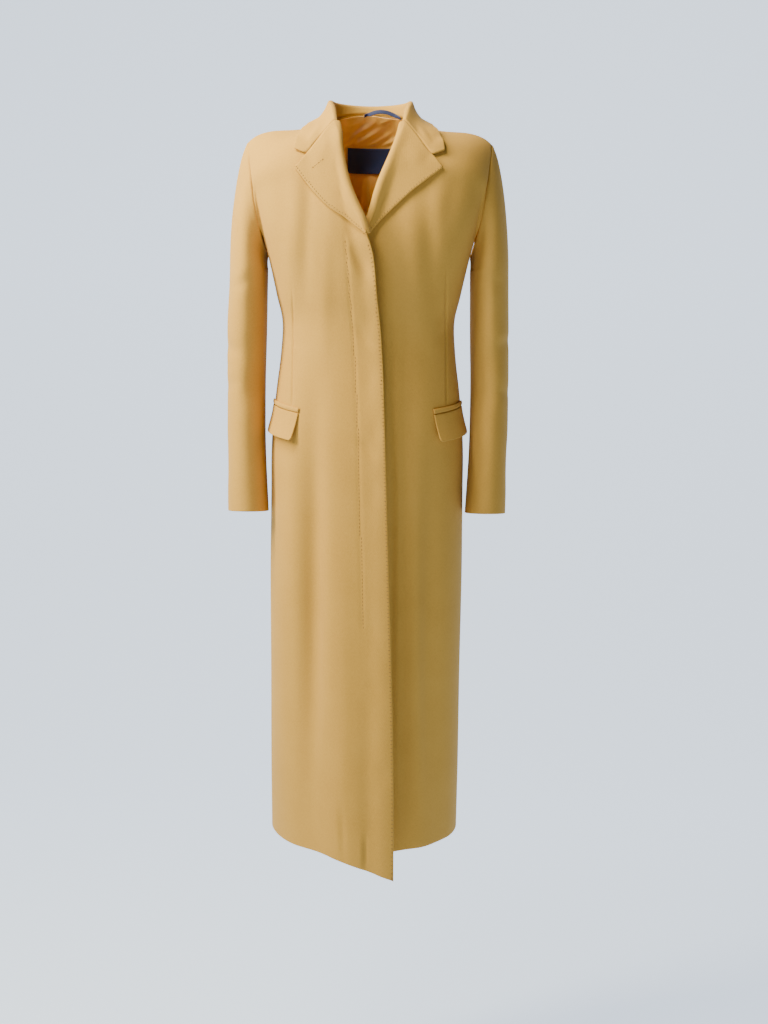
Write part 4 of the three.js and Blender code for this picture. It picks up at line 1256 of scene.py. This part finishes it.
def lapel_rows(side):
    """A lapel from its facing inside the front, round the roll line, to its outer edge."""
    chest = Surface(chests[side])
    t = np.linspace(0, 1, FINE + 1)
    roll = curve_at(on_side(UPPER_ROLL if side < 0 else UNDER_ROLL, side)[:GORGE], t)
    edges = evenly(curve_at(on_side(UPPER_LAPEL if side < 0 else UNDER_LAPEL, side), t), LAPEL_ROWS)
    starts = evenly(roll[BARE_ROLL:], LAPEL_ROWS)

    def place(p, lift):
        point, normal = chest.behind(p[0], p[2])
        return point + normal * lift

    rows = []
    for i, start in enumerate(starts):
        to_edge = (edges[i] - start) * (1, 0, 1)
        along = starts[min(i + 1, LAPEL_ROWS)] - starts[max(i - 1, 0)]
        _, normal = chest.behind(start[0] + side * ROLL_SIDE_STEP, start[2])
        away = np.cross(normal, along)
        away /= np.linalg.norm(away)
        if away[0] * side < 0:
            away = -away
        inside = -(WOOL + FACING_GAP + DOUBLED_WOOL)
        row = [place(start + away * FACING_REACH * share, inside) for share in (1, 0.5)]
        for s in QUARTERS:
            height = WOOL / 2 + (ROLL_LIFT if s > 0.5 else FACING_GAP) + DOUBLED_WOOL
            turn = start + normal * (-WOOL / 2 - height * math.cos(math.pi * s))
            row.append(turn - away * (ROLL_GAP + DOUBLED_WOOL) * math.sin(math.pi * s))
        for u in np.linspace(0, 1, LAPEL_COLUMNS + 1)[1:]:
            lift = ROLL_LIFT + (LAPEL_LIFT - ROLL_LIFT) * smoothstep(u, 0, LAPEL_SETTLE)
            row.append(place(start + to_edge * u, lift + DOUBLED_WOOL))
        rows.append(row)
    return np.array(rows)


lapels = {side: lapel_rows(side) for side in SIDES}


def lapel_grid(side):
    """A lapel read finely, and where its columns were read."""
    rows = lapels[side]
    columns_at = places(spans_of(rows, 1), LAPEL_COLUMN_STEP)
    return finer(rows, places(spans_of(rows, 0), LAPEL_ROW_STEP), columns_at), columns_at


# The collar
# A notched collar of doubled cloth: a stand sewn to the neck seam, a soft fold, and a fall that lies on
# the back and the lapels. The table gives its neck seam, fold and outer edge, from the centre back on.
COLLAR = [
    ((0, 66, 29), (0, 66, 44), (0, 94, -6)),
    ((36, 57, 26), (36, 57, 45), (56, 84, -7)),
    ((60, 34, 18), (56, 36, 46), (87, 48, -1)),
    ((68, 5, 12), (62, 6, 45), (101, 6, 3)),
    ((62, -30, 8), (57, -30, 30), (112, -36, -22)),
    ((55, -62, 0), (53, -62, 6), (123, -72, -46.5)),
]
NOTCH = (101, -51)
NOTCH_SHARE = 0.75
FALL_GAP = 4.2
FOLD_RADIUS = 5.5
FALL_BULGE = 0.5
STAND_SEAT = 1.5
STAND_CLEARANCE = 0.5
COLLAR_STATIONS = 26
FALL_COLUMN = 7
FALL_RELAXATIONS = 4
FOLD_TURN = 0.75
GORGE_START = 0.75
STATION_STEP = 0.0001


def collar_rows():
    """The collar from its neck seam up the stand, over the fold and down its fall."""
    table = np.array(COLLAR, float)
    lines = [np.vstack([on_side(table[:0:-1, k], -1), table[:, k]]) for k in range(3)]
    up = np.array([0, 0, 1.0])
    body = Surface(
        [grid for side in (-1, 1) for grid in chests[side] + [(backs[side][CHEST_ROW:], side < 0)]]
    )
    chest = {side: Surface(chests[side]) for side in SIDES}
    clearance = DOUBLED_WOOL + FALL_GAP
    rows = []
    for t in np.linspace(0, 1, COLLAR_STATIONS + 1):
        side = -1 if t < 0.5 else 1
        base, fold, edge = (curve_at(line, t)[0] for line in lines)
        ends = curve_at(lines[1], np.clip([t - STATION_STEP, t + STATION_STEP], 0, 1))
        out = np.cross(up, ends[1] - ends[0]) * (1, 1, 0)
        out /= np.linalg.norm(out)
        base = base + out * (STAND_SEAT - DOUBLED_WOOL) + up * STAND_CLEARANCE
        top = fold - up * FOLD_RADIUS
        top[2] = max(top[2], base[2] + 1)
        turn = []
        for s in QUARTERS:
            angle = math.pi * (1 - FOLD_TURN * s)
            turn.append(top + FOLD_RADIUS * ((1 + math.cos(angle)) * out + math.sin(angle) * up))
        start = turn[-1]
        gorge_share = smoothstep(abs(t - 0.5) * 2, GORGE_START, 1)
        fall = []
        for s in QUARTERS[1:]:
            hanging = start + (edge - start) * s + out * FALL_BULGE * math.sin(math.pi * s)
            notch = np.array([side * NOTCH[0], 0, NOTCH[1]])
            at = edge if s > NOTCH_SHARE else start + (notch - start) * (s / NOTCH_SHARE)
            point, normal = chest[side].behind(at[0], at[2])
            lying = point + normal * (LAPEL_LIFT + DOUBLED_WOOL)
            fall.append(body.clear(hanging + (lying - hanging) * gorge_share, clearance))
        rows.append([base, (base + top) / 2, *turn, *fall])
    rows = np.array(rows)
    for _ in range(FALL_RELAXATIONS):
        for i in range(1, COLLAR_STATIONS):
            for j in range(FALL_COLUMN, rows.shape[1]):
                middle = (rows[i - 1, j] + rows[i + 1, j]) / 2
                rows[i, j] = body.clear((rows[i, j] + middle) / 2, clearance)
    return rows


collar = collar_rows()

# The gorge
# The seam where the collar meets the lapels. The collar's ends and the lapels' tops are drawn together
# into one line up to the notch, and their tips are rounded as turned cloth is.
COLLAR_ROW_STEP = 2.6
COLLAR_COLUMN_STEP = 2
COLLAR_SHARE = 0.6
# The sewn parts of the two borders, each by the columns where it starts and ends.
COLLAR_SEWN = ((4.4, 5.6), (8.8, 9.8))
LAPEL_SEWN = ((4.4, 5.6), (9.4, 10.4))
GORGE_REACH = 26
TIP_RADIUS = 3
LAPEL_INSET = 3.6
LAPEL_THREAD = 2.6


def sewn_part(columns_at, start, end):
    """How far each column of a border is sewn in."""
    return smoothstep(columns_at, *start) * (1 - smoothstep(columns_at, *end))


collar_at = places(spans_of(collar, 1), COLLAR_COLUMN_STEP)
collar_grid = finer(collar, places(spans_of(collar, 0), COLLAR_ROW_STEP), collar_at)
gorge_part = sewn_part(collar_at, *COLLAR_SEWN)
lapel_grids = {}
far = border_distances(collar_grid)
for side, border, end in ((-1, "bottom", 0), (1, "top", -1)):
    lapel, lapel_at = lapel_grid(side)
    lapel_top = lapel[-1]
    drawn = (nearest_on(lapel_top, collar_grid[end]) - collar_grid[end]) * gorge_part[:, None]
    close = np.exp(-((far[border] / GORGE_REACH) ** 2))
    collar_grid = collar_grid + COLLAR_SHARE * drawn * close[:, :, None]
    seam_line = collar_grid[end][gorge_part > 0.5]
    lapel_part = sewn_part(lapel_at, *LAPEL_SEWN)
    drawn = (nearest_on(seam_line, lapel_top) - lapel_top) * lapel_part[:, None]
    close = np.exp(-((border_distances(lapel)["top"] / GORGE_REACH) ** 2))
    lapel = softened(lapel + drawn * close[:, :, None], [("last", "top")], TIP_RADIUS)
    lapel_grids[side] = lapel
    borders = {"last": EDGE, "top": lapel_part, "bottom": EDGE, "first": EDGE}
    name = f"coat_lapel_{SIDES[side]}"
    piece = cloth(name, lapel, DOUBLED_WOOL, camel_wool, borders, side < 0)
    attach(piece, "root")
    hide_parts(f"lapel_{SIDES[side]}")
    stitches = along_border(lapel, None, side < 0, "last", LAPEL_INSET, 2, 3)
    sewn_line(f"lapel_stitches_{SIDES[side]}", stitches, LAPEL_THREAD)

collar_grid = softened(collar_grid, (("last", "top"), ("last", "bottom")), TIP_RADIUS)
borders = {"last": EDGE, "top": gorge_part, "bottom": gorge_part, "first": SEWN}
collar_piece = cloth("coat_collar", collar_grid, DOUBLED_WOOL, camel_wool, borders, True)
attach(collar_piece, "root")
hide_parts("collar")

# The lapel's buttonhole
# A short worked buttonhole in the lapel on the wearer's right, shown by its closed line of stitches. Each
# is sewn to the nearest place of the lapel's outer face, and not to the facing behind it.
BUTTONHOLE = ((-92, -75), (-76, -62))
BUTTONHOLE_STITCHES = 6
BUTTONHOLE_THREAD = 2.8
FACING_BEHIND = 30
OUT_OF_REACH = 100

upper_lapel = lapel_grids[-1]
lapel_normal = normals_of(upper_lapel, True)
buttonhole = []
for share in np.linspace(0, 1, BUTTONHOLE_STITCHES):
    x, z = np.array(BUTTONHOLE[0]) * (1 - share) + np.array(BUTTONHOLE[1]) * share
    off = np.hypot(upper_lapel[:, :, 0] - x, upper_lapel[:, :, 2] - z)
    off = off + OUT_OF_REACH * (upper_lapel[:, :, 1] > upper_lapel[:, -1:, 1] + FACING_BEHIND)
    off = off + OUT_OF_REACH * (lapel_normal[:, :, 1] > 0)
    at = np.unravel_index(off.argmin(), off.shape)
    run = np.subtract(BUTTONHOLE[1], BUTTONHOLE[0])
    nearby = upper_lapel[at] + (x - upper_lapel[at][0], 0, z - upper_lapel[at][2])
    buttonhole.append((nearby, np.array([run[0], 0, run[1]]), lapel_normal[at]))
sewn_line("lapel_buttonhole", buttonhole, BUTTONHOLE_THREAD)

# The lining
# The satin of the upper back, seen in the neck: one panel that hangs just inside the back's cloth, sewn
# in round the neck, with loose folds above the label and down from it.
SATIN = 1
SATIN_TONES = [(0.3, (0.92, 0.43, 0.07, 1)), (0.55, (0.98, 0.53, 0.11, 1)), (0.75, (1, 0.64, 0.2, 1))]
SATIN_THREAD_SCALE, SATIN_THREAD_STRETCH = 2600, (1, 0.12, 1)
SATIN_CLOUD_SCALE = 30
SATIN_RELIEF, SATIN_RELIEF_DEPTH = 0.2, 0.0003
LINING_FOOT_Z = -300
LINING_REACH = 9
LINING_PUCKER = 4
LINING_WAVE = (2.1, 0.9)
LINING_STEP = 2
# The part that the label holds flat: half width, middle height, half height, and how far round it.
LABEL_FLAT = {"half": 42, "z": -47, "tall": 23, "fade": 5}


def lining_rows():
    """The pattern of the lining, set in from both backs and joined at the centre."""
    foot = int(np.argmax(lower_heights > LINING_FOOT_Z))
    halves = {}
    for side in SIDES:
        grid = backs[side][foot:, BACK_COLUMNS - LINING_REACH :]
        normal = normals_of(backs[side], side < 0)[foot:, BACK_COLUMNS - LINING_REACH :].copy()
        normal[:, -1, 0] = 0
        normal[-1, : LINING_REACH - NECK_COLUMNS, 1] = 0
        normal /= np.linalg.norm(normal, axis=2, keepdims=True)
        i, j = np.indices(grid.shape[:2])
        wave = 0.5 + 0.5 * np.sin(i * LINING_WAVE[0] + side * j * LINING_WAVE[1])
        pucker = LINING_PUCKER * wave * smoothstep(grid[:, :, 2], LINING_FOOT_Z, ARMPIT_Z)
        halves[side] = grid - normal * (WOOL + LAY_GAP + SATIN + pucker)[:, :, None]
    return np.concatenate([halves[-1], halves[1][:, -2::-1]], 1)


lining = lining_rows()


def satin_finish():
    """Amber satin: fine threads across the cloth, with a soft gloss."""
    satin = Finish("amber_satin", {"Specular IOR Level": 0.6, "Coat Roughness": 0.3, "Coat Weight": 0.12})
    place = satin.node("TexCoord", {}, {}, "Object")
    grain = satin.node("UVMap", {"uv_map": "grain"}, {})
    threads = satin.noise(satin.stretched(grain, SATIN_THREAD_STRETCH), SATIN_THREAD_SCALE, 2)
    cloudy = satin.noise(place, SATIN_CLOUD_SCALE, 3)
    colour = satin.node("ValToRGB", {"stops": SATIN_TONES}, {"Fac": threads * 0.4 + cloudy * 0.6})
    satin.surface(colour, 0.30 + cloudy * 0.14, threads, SATIN_RELIEF, SATIN_RELIEF_DEPTH)
    return satin.material


amber_satin = satin_finish()

# Folds of the satin: start, end, width and how far they stand up.
LINING_CREASES = [
    ((-46, -16), (14, 20), 4, -2.2),
    ((-34, -24), (30, 12), 4.5, -2.6),
    ((-12, -26), (48, 6), 4, -2.2),
    ((-50, 2), (-6, 24), 3.5, -1.6),
    ((14, -24), (52, -8), 3.5, -1.8),
    ((-52, -26), (-22, -6), 3.5, -1.6),
    ((10, 12), (48, 24), 3.5, -1.4),
    ((1, -66), (-2, -172), 4, -2.6),
    ((-13, -72), (-24, -168), 5, -1.8),
    ((14, -74), (22, -160), 4, -1.9),
    ((-60, -90), (-44, -190), 6, -2.0),
    ((56, -84), (46, -200), 6, -2.0),
]

SATIN_LIP = 0.1

lining_columns_at = places(spans_of(lining, 1), LINING_STEP)
lining_grid = finer(lining, places(spans_of(lining, 0), LINING_STEP), lining_columns_at)
satin_relief = sum(stroke(lining_grid, *crease, SATIN_LIP) for crease in LINING_CREASES)
past_side = np.abs(lining_grid[:, :, 0]) - LABEL_FLAT["half"]
past_end = np.abs(lining_grid[:, :, 2] - LABEL_FLAT["z"]) - LABEL_FLAT["tall"]
satin_relief = satin_relief * smoothstep(np.maximum(past_side, past_end), 0, LABEL_FLAT["fade"])
lining_piece = cloth("back_lining", lining_grid, SATIN, amber_satin, ALL_EDGES, relief=satin_relief)
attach(lining_piece, "root")
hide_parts("lining_back")

# The neck label
# A bare woven label of navy tape, laid on the lining in the middle of the back and stitched down along
# its border.
LABEL_CLOTH = 1
LABEL = {"half": 40, "top": -26, "bottom": -68}
LABEL_ROWS = 3
LABEL_COLUMNS = 6
LABEL_STEP = 2
NAVY_TONES = [(0.3, (0.016, 0.024, 0.075, 1)), (0.7, (0.034, 0.050, 0.14, 1))]
NAVY_WEAVE_SCALE, NAVY_WEAVE_STRETCH = 1700, (1, 2.4, 1)
NAVY_RELIEF, NAVY_RELIEF_DEPTH = 0.3, 0.0003

lining_face = Surface([(lining, False)])


def navy_finish():
    """Navy tape: a close matt weave."""
    navy = Finish("navy_tape", {"Specular IOR Level": 0.3, "Sheen Weight": 0.1})
    grain = navy.node("UVMap", {"uv_map": "grain"}, {})
    weave = navy.noise(navy.stretched(grain, NAVY_WEAVE_STRETCH), NAVY_WEAVE_SCALE, 2)
    colour = navy.node("ValToRGB", {"stops": NAVY_TONES}, {"Fac": weave})
    navy.surface(colour, 0.55 + weave * 0.2, weave, NAVY_RELIEF, NAVY_RELIEF_DEPTH)
    return navy.material


def label_rows():
    """The pattern of the label, laid clear of the lining."""
    rows = []
    for t in np.linspace(0, 1, LABEL_ROWS + 1):
        row = []
        for x in np.linspace(-LABEL["half"], LABEL["half"], LABEL_COLUMNS + 1):
            z = LABEL["bottom"] + (LABEL["top"] - LABEL["bottom"]) * t
            point = lining_face.behind(x, z)[0] - (0, LABEL_CLOTH, 0)
            row.append(lining_face.clear(point, LABEL_CLOTH + LAY_GAP))
        rows.append(row)
    return np.array(rows)


navy_tape = navy_finish()
label = label_rows()
label_grid = finer(label, places(spans_of(label, 0), LABEL_STEP), places(spans_of(label, 1), LABEL_STEP))
label_piece = cloth("neck_tape_label", label_grid, LABEL_CLOTH, navy_tape, ALL_EDGES)
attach(label_piece, "root")
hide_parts("neck_label")

# The hanging loop
# A narrow doubled navy tape, sewn down at both ends on the lining under the collar. It bows out between
# them, so that a hook can pass behind it.
LOOP_PATH = np.array(
    [
        (-11, 57, 25),
        (-5, 55.5, 27),
        (5, 45, 30),
        (18, 39, 31),
        (32, 37, 28.5),
        (44, 35, 23),
        (51, 30, 18.5),
    ]
)
LOOP_WIDTH = 7
LOOP_CLOTH = 1.8
LOOP_SEWN = 2
LOOP_GAP = 0.5
LOOP_STEPS = 12
LOOP_READINGS = FINE * 4
LOOP_ROW_STEP = 1
LOOP_COLUMN_STEP = 1.5


def loop_rows():
    """The pattern of the loop, its ends laid down on the lining."""
    line = evenly(curve_at(LOOP_PATH, np.linspace(0, 1, LOOP_READINGS)), LOOP_STEPS)
    rows = []
    for share in (-0.5, 0.5):
        row = []
        for k, on_path in enumerate(line):
            p = on_path + (0, 0, share * LOOP_WIDTH)
            height, normal = lining_face.height(p)
            if k < LOOP_SEWN or k > LOOP_STEPS - LOOP_SEWN:
                p = p + normal * (LOOP_CLOTH + LOOP_GAP - height)
            row.append(p)
        rows.append(row)
    return np.array(rows)


loop = loop_rows()
loop_columns_at = places(spans_of(loop, 1), LOOP_COLUMN_STEP)
loop_grid = finer(loop, places(spans_of(loop, 0), LOOP_ROW_STEP), loop_columns_at)
loop_piece = cloth("coat_hanging_loop", loop_grid, LOOP_CLOTH, navy_tape, ALL_EDGES)
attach(loop_piece, "root")
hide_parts("hanging_loop")
